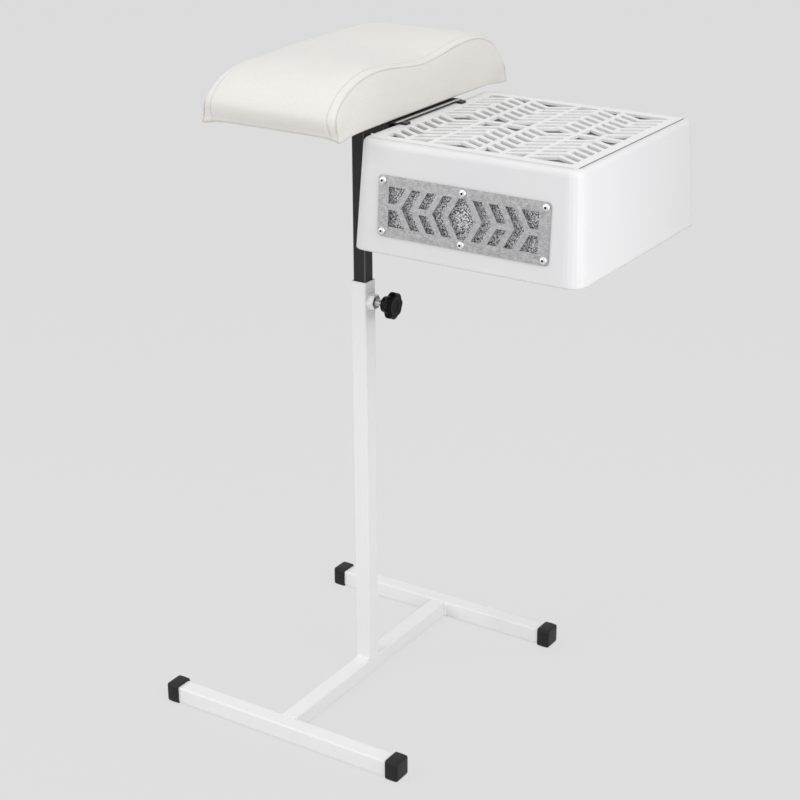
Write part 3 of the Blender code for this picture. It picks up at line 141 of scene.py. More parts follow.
def seen_directly(tree):
    """One where a ray comes from the camera, a mirror-like bounce or a passage through glass."""
    path = add_node(tree, "ShaderNodeLightPath")
    either = add_node(tree, "ShaderNodeMath",
                      {0: path.outputs["Is Camera Ray"], 1: path.outputs["Is Glossy Ray"]},
                      operation="MAXIMUM")
    seen = add_node(tree, "ShaderNodeMath",
                    {0: either.outputs[0], 1: path.outputs["Is Transmission Ray"]}, operation="MAXIMUM")
    return seen.outputs[0]


floor_material, tree, shader = new_finish("studio paper, matt", Base_Color=STUDIO_GREY, Roughness=0.9,
                                          Specular_IOR_Level=0.0)
flat_grey = add_node(tree, "ShaderNodeEmission", {"Color": STUDIO_GREY, "Strength": 1.0})
share = add_node(tree, "ShaderNodeMath", {0: seen_directly(tree), 1: 1 - SHADOW_SHARE}, operation="MULTIPLY")
mixed = add_node(tree, "ShaderNodeMixShader",
                 {0: share.outputs[0], 1: shader.outputs[0], 2: flat_grey.outputs[0]})
tree.links.new(mixed.outputs[0], tree.nodes["Material Output"].inputs["Surface"])
floor_mesh.materials.append(floor_material)

world = bpy.data.worlds.new("studio")
bpy.context.scene.world = world
world.use_nodes = True
tree = world.node_tree
ambient = add_node(tree, "ShaderNodeBackground", {"Color": (1, 1, 1, 1), "Strength": AMBIENT})
backdrop = add_node(tree, "ShaderNodeBackground", {"Color": STUDIO_GREY, "Strength": 1.0})
mixed = add_node(tree, "ShaderNodeMixShader",
                 {0: seen_directly(tree), 1: ambient.outputs[0], 2: backdrop.outputs[0]})
tree.links.new(mixed.outputs[0], tree.nodes["World Output"].inputs["Surface"])
print("floor and world show", [round(v, 3) for v in STUDIO_GREY[:3]])

# %% [markdown]
# The lamps then only have to light the footrest: one broad panel to the right of the camera, one above, one
# to the left, and a small one close to the extractor's front corner, which draws the corner as a bright
# line and lets the front fade away from it. Point lamps would give hard shadows, so all four are soft
# panels.


# %% Lamps
def panel_lamp(name, place, target, width, height, watts):
    """A rectangular soft panel at a place, facing a target."""
    data = bpy.data.lights.new(name, "AREA")
    data.shape = "RECTANGLE"
    data.size = width
    data.size_y = height
    data.energy = watts
    lamp = bpy.data.objects.new(name, data)
    bpy.context.collection.objects.link(lamp)
    aim = (Vector(target) - Vector(place)).to_track_quat("-Z", "Y")
    lamp.matrix_world = Matrix.Translation(place) @ aim.to_matrix().to_4x4()
    return lamp


MIDDLE = (0.0, 0.0, 0.5)
panel_lamp("right_panel", (2.2, -0.9, 1.7), MIDDLE, width=1.6, height=1.8, watts=22.5)
panel_lamp("top_panel", (-0.2, -0.3, 2.7), MIDDLE, width=2.2, height=2.2, watts=13)
panel_lamp("left_panel", (-1.6, -2.0, 1.4), MIDDLE, width=1.2, height=1.8, watts=17.5)
corner_panel = panel_lamp("corner_panel", (0.52, -0.18, 0.66), (0.25, -0.1, 0.64), width=0.16, height=0.26,
                          watts=0.24)
corner_panel.visible_camera = False
bpy.context.scene.view_settings.view_transform = "Standard"
print("studio set: one floor, four lamps")

# %% [markdown]
# ## Finishes
#
# Most of the footrest is painted steel and moulded plastic. On such pieces the eye reads three things: a
# fine texture from the coating, edges that are slightly round and catch light, and a little unevenness of
# tone. The solids have sharp edges, so each finish averages its normals over a small radius with the Bevel
# node; where that differs from the true normal, there is an edge, and a lighter colour is painted there as a
# highlight, which on black coats also stands for wear.


# %% Shared parts of the finishes
def lay_over(tree, mask, colour):
    """Lay a colour over the base colour that a finish has so far, as strongly as a mask from 0 to 1 says."""
    base = tree.nodes["Principled BSDF"].inputs["Base Color"]
    below = base.links[0].from_socket if base.is_linked else tuple(base.default_value)
    mixed = add_node(tree, "ShaderNodeMix", {0: mask, 6: below, 7: linear(colour)}, data_type="RGBA")
    tree.links.new(mixed.outputs[2], base)


def place_and_facing(tree):
    """Object coordinates as one socket, then as X, Y and Z, and X, Y and Z of the surface's normal."""
    coordinates = add_node(tree, "ShaderNodeTexCoord").outputs["Object"]
    normal = add_node(tree, "ShaderNodeNewGeometry").outputs["Normal"]
    place, facing = (add_node(tree, "ShaderNodeSeparateXYZ", {0: vector}).outputs
                     for vector in (coordinates, normal))
    return coordinates, place, facing


def painted_finish(name, light, dark, edge_colour, roughness, grit_mm, depth_mm, edge_mm, edge_share=0.6,
                   cloud_mm=45, **sockets):
    """A coated or moulded surface: cloudy tone between two colours, edges painted lighter as a highlight, and
    a fine gritty bump.

    The edge mask grows from 0 to its share as the rounded normal turns away from the true one."""
    material, tree, shader = new_finish(name, Base_Color=linear(dark), **sockets)
    coordinates = add_node(tree, "ShaderNodeTexCoord").outputs["Object"]
    plain = add_node(tree, "ShaderNodeNewGeometry").outputs["Normal"]
    rounded = add_node(tree, "ShaderNodeBevel", {"Radius": edge_mm * MM}, samples=6).outputs[0]
    agree = add_node(tree, "ShaderNodeVectorMath", {0: rounded, 1: plain}, operation="DOT_PRODUCT")
    edge = add_node(tree, "ShaderNodeMapRange", {"Value": agree.outputs["Value"], "From Min": 0.995,
                                                 "From Max": 0.90, "To Max": edge_share})
    cloud = add_node(tree, "ShaderNodeTexNoise", {"Vector": coordinates, "Scale": 1 / (cloud_mm * MM),
                                                  "Detail": 4.0, "Roughness": 0.6}).outputs["Fac"]
    lay_over(tree, cloud, light)
    # Painted highlight: the edge colour goes over the rounded edges; on black coats it stands for wear too.
    lay_over(tree, edge.outputs[0], edge_colour)
    grit = add_node(tree, "ShaderNodeTexNoise", {"Vector": coordinates, "Scale": 1 / (grit_mm * MM),
                                                 "Detail": 3.0, "Roughness": 0.55})
    bump = add_node(tree, "ShaderNodeBump", {"Height": grit.outputs["Fac"], "Distance": depth_mm * MM,
                                             "Strength": 1.0, "Normal": rounded})
    tree.links.new(bump.outputs[0], shader.inputs["Normal"])
    gloss = add_node(tree, "ShaderNodeMapRange", {"Value": cloud, "From Min": 0.3, "From Max": 0.7,
                                                  "To Min": roughness - 0.04, "To Max": roughness + 0.05})
    tree.links.new(gloss.outputs[0], shader.inputs["Roughness"])
    return material


print("a finish is a base colour, layers over it, a bump and a gloss")

# %% [markdown]
# The stand is coated in white polyester powder: even and satin, with an orange peel of about 2 mm and edges
# painted paler as a highlight. On the column the coat is darker round the clamp: soil where hands reach for
# the knob, and painted shade round the nut and the knob. A stain could be painted on an image; a mask that
# thins out with the distance from the nut needs none and sits where the nut is.

# %% White powder coat
DARK_NEAR, DARK_FAR, DARK_GRAIN, DARK_MOST = 9 * MM, 32 * MM, 5 * MM, 0.42
WHITE = dict(light="#F8F8F8", dark="#F3F3F4", edge_colour="#FBFBFB", roughness=0.36, grit_mm=2.2,
             depth_mm=0.020, edge_mm=0.9)
white_coat = painted_finish("white polyester powder coat", **WHITE)
column_coat = painted_finish("white polyester powder coat, soiled", **WHITE)
tree = column_coat.node_tree
coordinates, _, facing = place_and_facing(tree)
nut_low, nut_high = map(np.array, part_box("clamp_nut"))
away = add_node(tree, "ShaderNodeVectorMath", {0: coordinates, 1: tuple((nut_low + nut_high) / 2)},
                operation="DISTANCE")
close = add_node(tree, "ShaderNodeMapRange", {"Value": away.outputs["Value"], "From Min": DARK_NEAR,
                                              "From Max": DARK_FAR, "To Min": DARK_MOST, "To Max": 0.0},
                 interpolation_type="SMOOTHSTEP")
smear = add_node(tree, "ShaderNodeTexNoise", {"Vector": coordinates, "Scale": 1 / DARK_GRAIN, "Detail": 5.0})
soil_and_shade = add_node(tree, "ShaderNodeMath", {0: close.outputs[0], 1: smear.outputs["Fac"]}, operation="MULTIPLY")
# Only the face towards +X is darkened by soil and painted shade, so its normal's X is one more factor.
front = add_node(tree, "ShaderNodeMath", {0: soil_and_shade.outputs[0], 1: facing[0]}, operation="MULTIPLY",
                 use_clamp=True)
# Soil and painted shade: a dark grey laid over the column's +X face round the nut.
lay_over(tree, front.outputs[0], "#4A4A4A")

# The nut was masked with tape: its outer face stayed bare, the rest is painted and has crisp edges.
nut_coat = painted_finish("white powder coat, face bare", "#F6F6F6", "#F0F0F0", "#FAFAFA", roughness=0.34,
                          grit_mm=2.2, depth_mm=0.010, edge_mm=0.3)
tree = nut_coat.node_tree
_, _, facing = place_and_facing(tree)
bare = add_node(tree, "ShaderNodeMath", {0: facing[0], 1: 0.85}, operation="GREATER_THAN").outputs[0]
lay_over(tree, bare, "#7E7E80")
tree.links.new(bare, tree.nodes["Principled BSDF"].inputs["Metallic"])
print("white coats made; soil reaches", DARK_FAR / MM, "mm from the nut")

# %% [markdown]
# The head's steel is coated black: dark grey rather than black to the eye, with edges painted paler, partly
# as wear and partly as a highlight. The post's four round corners are painted pale: a highlight, and wear
# where the column's mouth rubs them. There the normal lies between X and Y, so the product of the two is
# large and can serve as the mask. On the hanger strip, a pale band on the flat in front of the cushion's
# edge stands for dust and a painted sheen, and the flat behind it, under the edge, is left dark as painted
# shade.

# %% Black powder coat
PALE_BAND_FRONT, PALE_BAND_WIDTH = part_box("hanger_strip")[1][0] - 7 * MM, 4.5 * MM
black_coat = painted_finish("black powder coat", "#242426", "#1A1A1C", "#6C6C6F", roughness=0.45, grit_mm=1.6,
                            depth_mm=0.020, edge_mm=1.0, cloud_mm=14, Specular_IOR_Level=0.3)
post_coat = painted_finish("black powder coat, rubbed", "#3A3A3C", "#2C2C2E", "#3A3A3C", roughness=0.5,
                           grit_mm=1.6, depth_mm=0.020, edge_mm=1.6, cloud_mm=9, Specular_IOR_Level=0.12)
tree = post_coat.node_tree
# Painted highlight and rubbed wear: the post's round corners are made pale.
rounded = add_node(tree, "ShaderNodeBevel", {"Radius": 1.8 * MM}, samples=6)
facing = add_node(tree, "ShaderNodeSeparateXYZ", {0: rounded.outputs[0]}).outputs
between = add_node(tree, "ShaderNodeMath", {0: facing[0], 1: facing[1]}, operation="MULTIPLY")
either_way = add_node(tree, "ShaderNodeMath", {0: between.outputs[0]}, operation="ABSOLUTE")
rubbed_with_painted_highlight = add_node(tree, "ShaderNodeMapRange", {"Value": either_way.outputs[0], "From Min": 0.12,
                                               "From Max": 0.42, "To Max": 0.85})
lay_over(tree, rubbed_with_painted_highlight.outputs[0], "#7A7A7C")

strip_coat = painted_finish("black powder coat, dusty_with_painted_sheen on top", "#2A2A2C", "#202022", "#4A4A4C",
                            roughness=0.42, grit_mm=1.6, depth_mm=0.020, edge_mm=0.5)
tree = strip_coat.node_tree
_, place, facing = place_and_facing(tree)
# Dust and a painted sheen lie on the upward flat in a band; behind it, under the cushion's edge, the flat is
# left dark as painted shade.
flat = add_node(tree, "ShaderNodeMath", {0: facing[2], 1: 0.9}, operation="GREATER_THAN")
band = add_node(tree, "ShaderNodeMath", {0: place[0], 1: PALE_BAND_FRONT - PALE_BAND_WIDTH / 2, 2: PALE_BAND_WIDTH / 2},
                operation="COMPARE")
dust_and_sheen = add_node(tree, "ShaderNodeMath", {0: flat.outputs[0], 1: band.outputs[0]}, operation="MULTIPLY")
lay_over(tree, dust_and_sheen.outputs[0], "#C6C6C2")
print("black coats made; dust lies", PALE_BAND_WIDTH / MM, "mm wide")

# %% [markdown]
# The hood is ABS from a spark-eroded mould, which leaves a fine sandy texture; its edges are painted
# brighter as a highlight. The grille is lacquered sheet: smoother, with crisp cut edges. A dark line is
# painted along its outermost border as the shade in the gap between grille and hood, strongest at the front.
# The black mouldings differ in gloss and grain: soft polythene caps, a deep black phenolic knob whose rim
# carries a painted highlight, and glass-filled nylon inside the hood.

# %% Plastics and lacquer
FRONT_SHADE, SIDE_SHADE, SIDE_SHADE_SHARE = 1.3 * MM, 0.5 * MM, 0.45
# Painted highlight: the hood's edges are painted paler over a wide rounding.
hood_plastic = painted_finish("white ABS, spark-textured", "#E6E6E7", "#E1E1E3", "#FAFAFA", roughness=0.34,
                              grit_mm=1.1, depth_mm=0.045, edge_mm=3.0, cloud_mm=70)
grille_coat = painted_finish("white lacquered sheet", "#F2F2F2", "#ECECEC", "#F6F6F6", roughness=0.34,
                             grit_mm=1.8, depth_mm=0.012, edge_mm=0.4)
tree = grille_coat.node_tree
_, place, _ = place_and_facing(tree)
_, grille_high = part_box("top_grille")
# Painted shade: a dark line along the grille's border stands for the shadowed gap to the hood, fainter at the
# sides.
front_gap_shade = add_node(tree, "ShaderNodeMath", {0: place[0], 1: grille_high[0] - FRONT_SHADE},
                      operation="GREATER_THAN")
aside = add_node(tree, "ShaderNodeMath", {0: place[1]}, operation="ABSOLUTE")
side_gap_shade = add_node(tree, "ShaderNodeMath", {0: aside.outputs[0], 1: grille_high[1] - SIDE_SHADE},
                     operation="GREATER_THAN")
fainter = add_node(tree, "ShaderNodeMath", {0: side_gap_shade.outputs[0], 1: SIDE_SHADE_SHARE},
                   operation="MULTIPLY")
gap_shade = add_node(tree, "ShaderNodeMath", {0: front_gap_shade.outputs[0], 1: fainter.outputs[0]},
                operation="MAXIMUM")
lay_over(tree, gap_shade.outputs[0], "#1C1C1E")

cap_plastic = painted_finish("black polythene, moulded", "#1E1E20", "#151517", "#38383A", roughness=0.46,
                             grit_mm=1.2, depth_mm=0.05, edge_mm=0.9, cloud_mm=9, Specular_IOR_Level=0.3)
# Painted highlight: the pale edge colour draws a light line round the knob's rim.
knob_plastic = painted_finish("black phenolic, polished", "#0A0A0B", "#060607", "#8E8E92", roughness=0.30,
                              grit_mm=2.5, depth_mm=0.01, edge_mm=1.0, edge_share=0.8, cloud_mm=12,
                              Specular_IOR_Level=0.1)
dark_nylon = painted_finish("black nylon, moulded", "#202022", "#18181A", "#343436", roughness=0.44,
                            grit_mm=1.4, depth_mm=0.03, edge_mm=0.5, cloud_mm=12)
print("plastics and lacquer made")

# %% [markdown]
# The metals have no colour of their own beyond grey; they differ in how they were worked. The side plates
# are stainless sheet that was brushed along its length and then clouded by handling, so one noise varies
# tone and gloss and another, stretched along X, draws the brushing. Zinc plating is bright with a faint
# bloom.

# %% Metals
METAL_EDGE = 0.35 * MM


def metal_finish(name, light, dark, roughness, cloud_mm, brush_mm, run_mm, depth_mm):
    """A metal whose tone and gloss cloud over a few millimetres, brushed along X with a spacing and a run."""
    material, tree, shader = new_finish(name, Base_Color=linear(dark), Metallic=1.0)
    coordinates = add_node(tree, "ShaderNodeTexCoord").outputs["Object"]
    rounded = add_node(tree, "ShaderNodeBevel", {"Radius": METAL_EDGE}, samples=6).outputs[0]
    cloud = add_node(tree, "ShaderNodeTexNoise", {"Vector": coordinates, "Scale": 1 / (cloud_mm * MM),
                                                  "Detail": 6.0, "Roughness": 0.7}).outputs["Fac"]
    lines_per_m = 1 / (brush_mm * MM)
    stretched = add_node(tree, "ShaderNodeMapping", {"Vector": coordinates,
                                                     "Scale": (1 / (run_mm * MM), lines_per_m, lines_per_m)})
    brush = add_node(tree, "ShaderNodeTexNoise", {"Vector": stretched.outputs[0], "Scale": 1.0,
                                                  "Detail": 3.0}).outputs["Fac"]
    both = add_node(tree, "ShaderNodeMath", {0: cloud, 1: brush}, operation="ADD")
    level = add_node(tree, "ShaderNodeMapRange", {"Value": both.outputs[0], "From Min": 0.7, "From Max": 1.3})
    lay_over(tree, level.outputs[0], light)
    gloss = add_node(tree, "ShaderNodeMapRange", {"Value": cloud, "From Min": 0.3, "From Max": 0.7,
                                                  "To Min": roughness - 0.07, "To Max": roughness + 0.08})
    tree.links.new(gloss.outputs[0], shader.inputs["Roughness"])
    bump = add_node(tree, "ShaderNodeBump", {"Height": brush, "Distance": depth_mm * MM, "Normal": rounded})
    tree.links.new(bump.outputs[0], shader.inputs["Normal"])
    return material


side_steel = metal_finish("stainless sheet, brushed and clouded", "#D1D1D2", "#919192", roughness=0.50,
                          cloud_mm=4, brush_mm=0.7, run_mm=3, depth_mm=0.02)
screw_zinc = metal_finish("steel, zinc plated and barrel polished", "#F6F6F6", "#E2E3E4", roughness=0.40,
                          cloud_mm=2, brush_mm=0.8, run_mm=0.8, depth_mm=0.004)
zinc = metal_finish("steel, bright zinc plated", "#D9DADB", "#BBBDBE", roughness=0.27, cloud_mm=3,
                    brush_mm=0.6, run_mm=1.2, depth_mm=0.006)
cast_alloy = metal_finish("aluminium, die cast", "#B9BABC", "#97989A", roughness=0.5, cloud_mm=4,
                          brush_mm=1.0, run_mm=1.0, depth_mm=0.03)
print("metals made")

# %% [markdown]
# The filters are fibres. From a step away the grey one reads as felt, and the one behind the side plates as
# a sparkle of bright and dark points, because its metallic threads turn every way. Felt is a soft noise;
# the sparkle is a cell pattern whose cells take random tones, drawn at 0.8 mm so that it shows. The
# cushion's board is birch plywood: a pale noise, stretched along Y as the rotary-cut grain is, and thin
# across the plies.

# %% Filters and wood
FUZZ, FLECK, PLY_GRAIN = 1.2 * MM, 0.8 * MM, (6 * MM, 70 * MM, 1.6 * MM)
filter_felt, tree, shader = new_finish("grey polyester felt, needled", Base_Color=linear("#A2A3A4"),
                                       Roughness=0.95, Sheen_Weight=0.15)
coordinates = add_node(tree, "ShaderNodeTexCoord").outputs["Object"]
fuzz = add_node(tree, "ShaderNodeTexNoise", {"Vector": coordinates, "Scale": 1 / FUZZ, "Detail": 6.0,
                                             "Roughness": 0.75}).outputs["Fac"]
lay_over(tree, fuzz, "#D2D2D2")
bump = add_node(tree, "ShaderNodeBump", {"Height": fuzz, "Distance": 0.25 * MM})
tree.links.new(bump.outputs[0], shader.inputs["Normal"])

filter_wool, tree, shader = new_finish("metallised wool, carded", Base_Color=linear("#0E0E10"),
                                       Roughness=0.55, Metallic=0.25)
coordinates = add_node(tree, "ShaderNodeTexCoord").outputs["Object"]
flecks = add_node(tree, "ShaderNodeTexVoronoi", {"Vector": coordinates, "Scale": 1 / FLECK})
grey = add_node(tree, "ShaderNodeRGBToBW", {"Color": flecks.outputs["Color"]})
sparkle = add_node(tree, "ShaderNodeMapRange", {"Value": grey.outputs[0], "From Min": 0.33, "From Max": 0.66})
lay_over(tree, sparkle.outputs[0], "#FBFBFF")
bump = add_node(tree, "ShaderNodeBump", {"Height": flecks.outputs["Distance"], "Distance": 0.5 * MM})
tree.links.new(bump.outputs[0], shader.inputs["Normal"])

plywood, tree, shader = new_finish("birch plywood, rotary cut", Base_Color=linear("#B08E62"), Roughness=0.62)
coordinates = add_node(tree, "ShaderNodeTexCoord").outputs["Object"]
stretched = add_node(tree, "ShaderNodeMapping", {"Vector": coordinates,
                                                 "Scale": tuple(1 / run for run in PLY_GRAIN)})
grain = add_node(tree, "ShaderNodeTexNoise", {"Vector": stretched.outputs[0], "Scale": 1.0, "Detail": 5.0})
lay_over(tree, grain.outputs["Fac"], "#DCC59C")
print("filters and wood made")

# %% [markdown]
# Nodes whose solids have the right shape already only need a finish. It could go on each by hand, in the
# material tab; one table of finishes and nodes keeps them together, and a loop fills the slots. Nodes that
# a new surface stands for further down aren't in the table.

# %% Give the rigid nodes their finishes
FINISHES = {
    white_coat: ["front_crossbar", "rear_crossbar", "centre_beam"],
    column_coat: ["column_tube"],
    nut_coat: ["clamp_nut"],
    post_coat: ["inner_post"],
    black_coat: ["seat_plate", "bracket_arm", "hanger_rail"],
    strip_coat: ["hanger_strip"],
    hood_plastic: ["hood_shell", "base_plate"],
    grille_coat: ["top_grille"],
    dark_nylon: ["filter_tray", "fan_frame", "fan_rotor", "switch_frame", "switch_rocker", "power_inlet"],
    side_steel: ["side_plate_near", "side_plate_far"],
    cast_alloy: ["fan_motor"],
    zinc: ["fan_bolt_1", "fan_bolt_2", "fan_bolt_3", "fan_bolt_4"],
    plywood: ["cushion_board"],
}
for finish, names in FINISHES.items():
    for name in names:
        nodes[name].data.materials.clear()
        nodes[name].data.materials.append(finish)
print("finishes on", sum(map(len, FINISHES.values())), "nodes")

# %% [markdown]
# The cushion's cover is leatherette: a soft vinyl skin embossed with a fine pebble grain. Its gloss is low
# and a little greasy. The pebbles are cells about 1.3 mm wide, rounded by using the distance from each
# cell's middle, and their valleys are painted darker as shade. A wider noise makes some patches smoother, as
# use does. Along the seams and the hem the colour is darker, partly dirt and partly painted shade; where
# those are, the mesh says so in an attribute named crease.

# %% Leatherette and thread
PEBBLE, WEAR, TWIST = 1.3 * MM, 38 * MM, 4.5 * MM
leatherette, tree, shader = new_finish("cream vinyl leatherette, embossed", Base_Color=linear("#E6E3DE"),
                                       Sheen_Weight=0.06)
coordinates = add_node(tree, "ShaderNodeTexCoord").outputs["Object"]
pebbles = add_node(tree, "ShaderNodeTexVoronoi", {"Vector": coordinates, "Scale": 1 / PEBBLE,
                                                  "Randomness": 0.9}, feature="F1").outputs["Distance"]
wear = add_node(tree, "ShaderNodeTexNoise", {"Vector": coordinates, "Scale": 1 / WEAR, "Detail": 5.0,
                                             "Roughness": 0.55}).outputs["Fac"]
valley_shade = add_node(tree, "ShaderNodeMapRange", {"Value": pebbles, "From Min": 0.35, "From Max": 0.75,
                                               "To Max": 0.35})
dirt_and_shade = add_node(tree, "ShaderNodeAttribute", attribute_name="crease")
lay_over(tree, wear, "#EEECE8")
# Painted shade in the pebbles' valleys, and dirt with painted shade along the seams and the hem.
lay_over(tree, valley_shade.outputs[0], "#DDD8CF")
lay_over(tree, dirt_and_shade.outputs["Fac"], "#BBB5AA")
gloss = add_node(tree, "ShaderNodeMapRange", {"Value": wear, "From Min": 0.3, "From Max": 0.7, "To Min": 0.44,
                                              "To Max": 0.56})
tree.links.new(gloss.outputs[0], shader.inputs["Roughness"])
grain = add_node(tree, "ShaderNodeMath", {0: pebbles, 1: -1.0}, operation="MULTIPLY")
bump = add_node(tree, "ShaderNodeBump", {"Height": grain.outputs[0], "Distance": 0.09 * MM, "Strength": 0.8})
tree.links.new(bump.outputs[0], shader.inputs["Normal"])

# Bonded polyester thread, a shade darker than the cover; its twist is drawn as coarse as it needs to show.
thread, tree, shader = new_finish("cream polyester thread, twisted", Base_Color=linear("#DDD8CE"),
                                  Roughness=0.55)
coordinates = add_node(tree, "ShaderNodeTexCoord").outputs["Object"]
twist = add_node(tree, "ShaderNodeTexWave", {"Vector": coordinates, "Scale": 1 / TWIST, "Distortion": 1.0},
                 bands_direction="DIAGONAL")
lay_over(tree, twist.outputs["Fac"], "#EBE7E0")
print("leatherette and thread made")

# %% [markdown]
# ## Cushion: three sewn panels
#
# The cushion's cover is sewn from three panels of leatherette: a long one that runs from the near hem over
# the top to the far hem, and one on each side. It could be one soft box with drawn-on seams. Here the cover
# is one grid whose lines follow the panels, so that the seams are grid lines: one way across, from the hem
# on the left over the top to the hem on the right, and the other way along the long panel. The edge towards
# the extractor dips in the middle; the edge behind is nearly straight, and squarer at its ends.


# %% Cushion profile
def eased(value):
    """A smooth step: 3v^2 - 2v^3 of the value held between 0 and 1."""
    value = np.clip(value, 0, 1)
    return value * value * (3 - 2 * value)


cushion_low, cushion_high = map(np.array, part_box("cushion"))
CUSHION_X, CUSHION_Y = (cushion_low[:2] + cushion_high[:2]) / 2
HALF_WIDTH, HALF_LENGTH = (cushion_high[:2] - cushion_low[:2]) / 2
UNDERSIDE = cushion_low[2]
NEAR_CREST = 54.5 * MM
FRONT_EDGE = dict(near_crest=NEAR_CREST, dip=47.5 * MM, far_crest=56 * MM, power=2.0)
BACK_EDGE = dict(near_crest=51 * MM, dip=53.5 * MM, far_crest=53.5 * MM, power=2.4)
NEAR_HUMP, FAR_HUMP = -0.5 * HALF_LENGTH, 0.58 * HALF_LENGTH
NEAR_END_ROUND, FAR_END_ROUND, HEM_HEIGHT = 80 * MM, 66 * MM, 13 * MM
HEM_DROP, HEM_TUCK, END_BULGE = 1.0 * MM, 1.2 * MM, 2.5 * MM
END_REACH, END_SWELL_HEIGHT = 50 * MM, 36 * MM
STATIONS, FINE_STEPS, HEM_STEPS = 108, 900, 30


def crest_line(y, near_crest, dip, far_crest):
    """Height of one edge of the long panel along Y: a near hump, a middle of some height and a far hump."""
    return np.where(y < 0, near_crest + (dip - near_crest) * eased(1 - y / NEAR_HUMP),
                    dip + (far_crest - dip) * eased(y / FAR_HUMP))


def end_lift(distance, run, power):
    """A quarter of a squarish ellipse: (1 - (1 - d)^p)^(1/p), with d the distance as a share of the run."""
    return (1 - (1 - np.clip(distance / run, 0, 1)) ** power) ** (1 / power)


def panel_edge(near_crest, dip, far_crest, power):
    """One edge of the long panel from the near hem over the top to the far hem: y and z at even stations."""
    y = -HALF_LENGTH * np.cos(np.linspace(0, np.pi, FINE_STEPS))
    lift = end_lift(HALF_LENGTH + y, NEAR_END_ROUND, power) * end_lift(HALF_LENGTH - y, FAR_END_ROUND, power)
    z = HEM_HEIGHT + (crest_line(y, near_crest, dip, far_crest) - HEM_HEIGHT) * lift
    hem = np.linspace(-HEM_DROP, HEM_HEIGHT, HEM_STEPS)[:-1]
    y = np.concatenate([np.full(len(hem), -HALF_LENGTH), y, np.full(len(hem), HALF_LENGTH)])
    z = np.concatenate([hem, z, hem[::-1]])
    # The end faces swell between the hem and the shoulder, and the hem is drawn in under them.
    at_end = np.sign(y) * np.clip((np.abs(y) - HALF_LENGTH + END_REACH) / END_REACH, 0, 1)
    swell = END_BULGE * np.sin(np.pi * np.clip(z / END_SWELL_HEIGHT, 0, 1))
    tuck = HEM_TUCK * (1 - np.clip(z / HEM_HEIGHT, 0, 1)) ** 2
    y = y + at_end * (swell - tuck)
    run = np.concatenate([[0], np.cumsum(np.hypot(np.diff(y), np.diff(z)))])
    station = np.linspace(0, run[-1], STATIONS + 1)
    return np.interp(station, run, y), np.interp(station, run, z), station


front_y, front_z, station = panel_edge(**FRONT_EDGE)
back_y, back_z, _ = panel_edge(**BACK_EDGE)
to_hem = np.minimum(station, station[-1] - station)
slope_y, slope_z = np.gradient(front_y + back_y), np.gradient(front_z + back_z)
normal_y, normal_z = np.array([-slope_z, slope_y]) / np.hypot(slope_y, slope_z)
print("long panel:", round(station[-1] / MM), "mm from hem to hem")

# %% [markdown]
# Across the grid, the long panel is crowned: it rises quickly from its two seams and is nearly flat between
# them. The side panels lean in towards the top and swell a little. Each of their lines starts on the seam
# and ends on the bottom hem; near the ends the lines fan out, because there the seam runs up the end face.

# %% Cushion grid
SEAM_SET, SEAM_INSET, TOPSTITCH_SET = 6.2 * MM, 1.0 * MM, 10 * MM
CROWN, CROWN_POWER, CROWN_RUN = 6.5 * MM, 7, 26 * MM
SIDE_LEAN, SIDE_BULGE, SIDE_DRAW = 5 * MM, 1.5 * MM, 1.5 * MM
EDGE_ROUND, CORNER = 3.5 * MM, 11 * MM
from_seam = np.array([0, 0.8, 2.0, 4.5, 7.4, 8.8, 9.6, 10, 10.4, 11.2, 12.8,
                      16, 20, 25, 31, 38, 46, 54, 62, 70]) * MM
STITCHED = int(np.argmin(np.abs(from_seam - TOPSTITCH_SET)))
side_share = np.array([0.018, 0.045, 0.09, 0.16, 0.25, 0.35, 0.46, 0.57, 0.68, 0.78, 0.87, 0.94, 1.0])


def seam_place(z):
    """Half width at the seams, which lean in with height."""
    return HALF_WIDTH - SEAM_INSET - SIDE_LEAN * z / NEAR_CREST


def side_panel(edge_y, edge_z):
    """A side panel: lines from the seam to the hem, on a face that leans in, swells and tucks in below."""
    hem_y = (HALF_LENGTH - CORNER) * np.linspace(-1, 1, STATIONS + 1)
    y = edge_y[:, None] + (hem_y - edge_y)[:, None] * side_share
    z = edge_z[:, None] + (-HEM_DROP - edge_z)[:, None] * side_share
    height = np.interp(y, np.maximum.accumulate(edge_y), edge_z)
    swell = SIDE_BULGE * height / NEAR_CREST * np.sin(np.pi * np.clip(z / np.maximum(height, MM), 0, 1))
    tuck = HEM_TUCK * (1 - np.clip(z / HEM_HEIGHT, 0, 1)) ** 2
    face = HALF_WIDTH - SIDE_DRAW * (1 - (y / HALF_LENGTH) ** 2) - SIDE_LEAN * z / NEAR_CREST + swell - tuck
    apart = np.hypot(y - edge_y[:, None], z - edge_z[:, None])
    seam = seam_place(edge_z)[:, None]
    return np.stack([seam + (face - seam) * (1 - np.exp(-apart / EDGE_ROUND)), y, z], axis=-1)


half_top = np.append(1 - from_seam / (HALF_WIDTH - SEAM_SET), 0)
across = np.concatenate([-half_top, half_top[-2::-1]])
front_share = (across + 1) / 2


def blend(back, front):
    """Values along the two edges, mixed across the long panel."""
    return back[:, None] * (1 - front_share) + front[:, None] * front_share


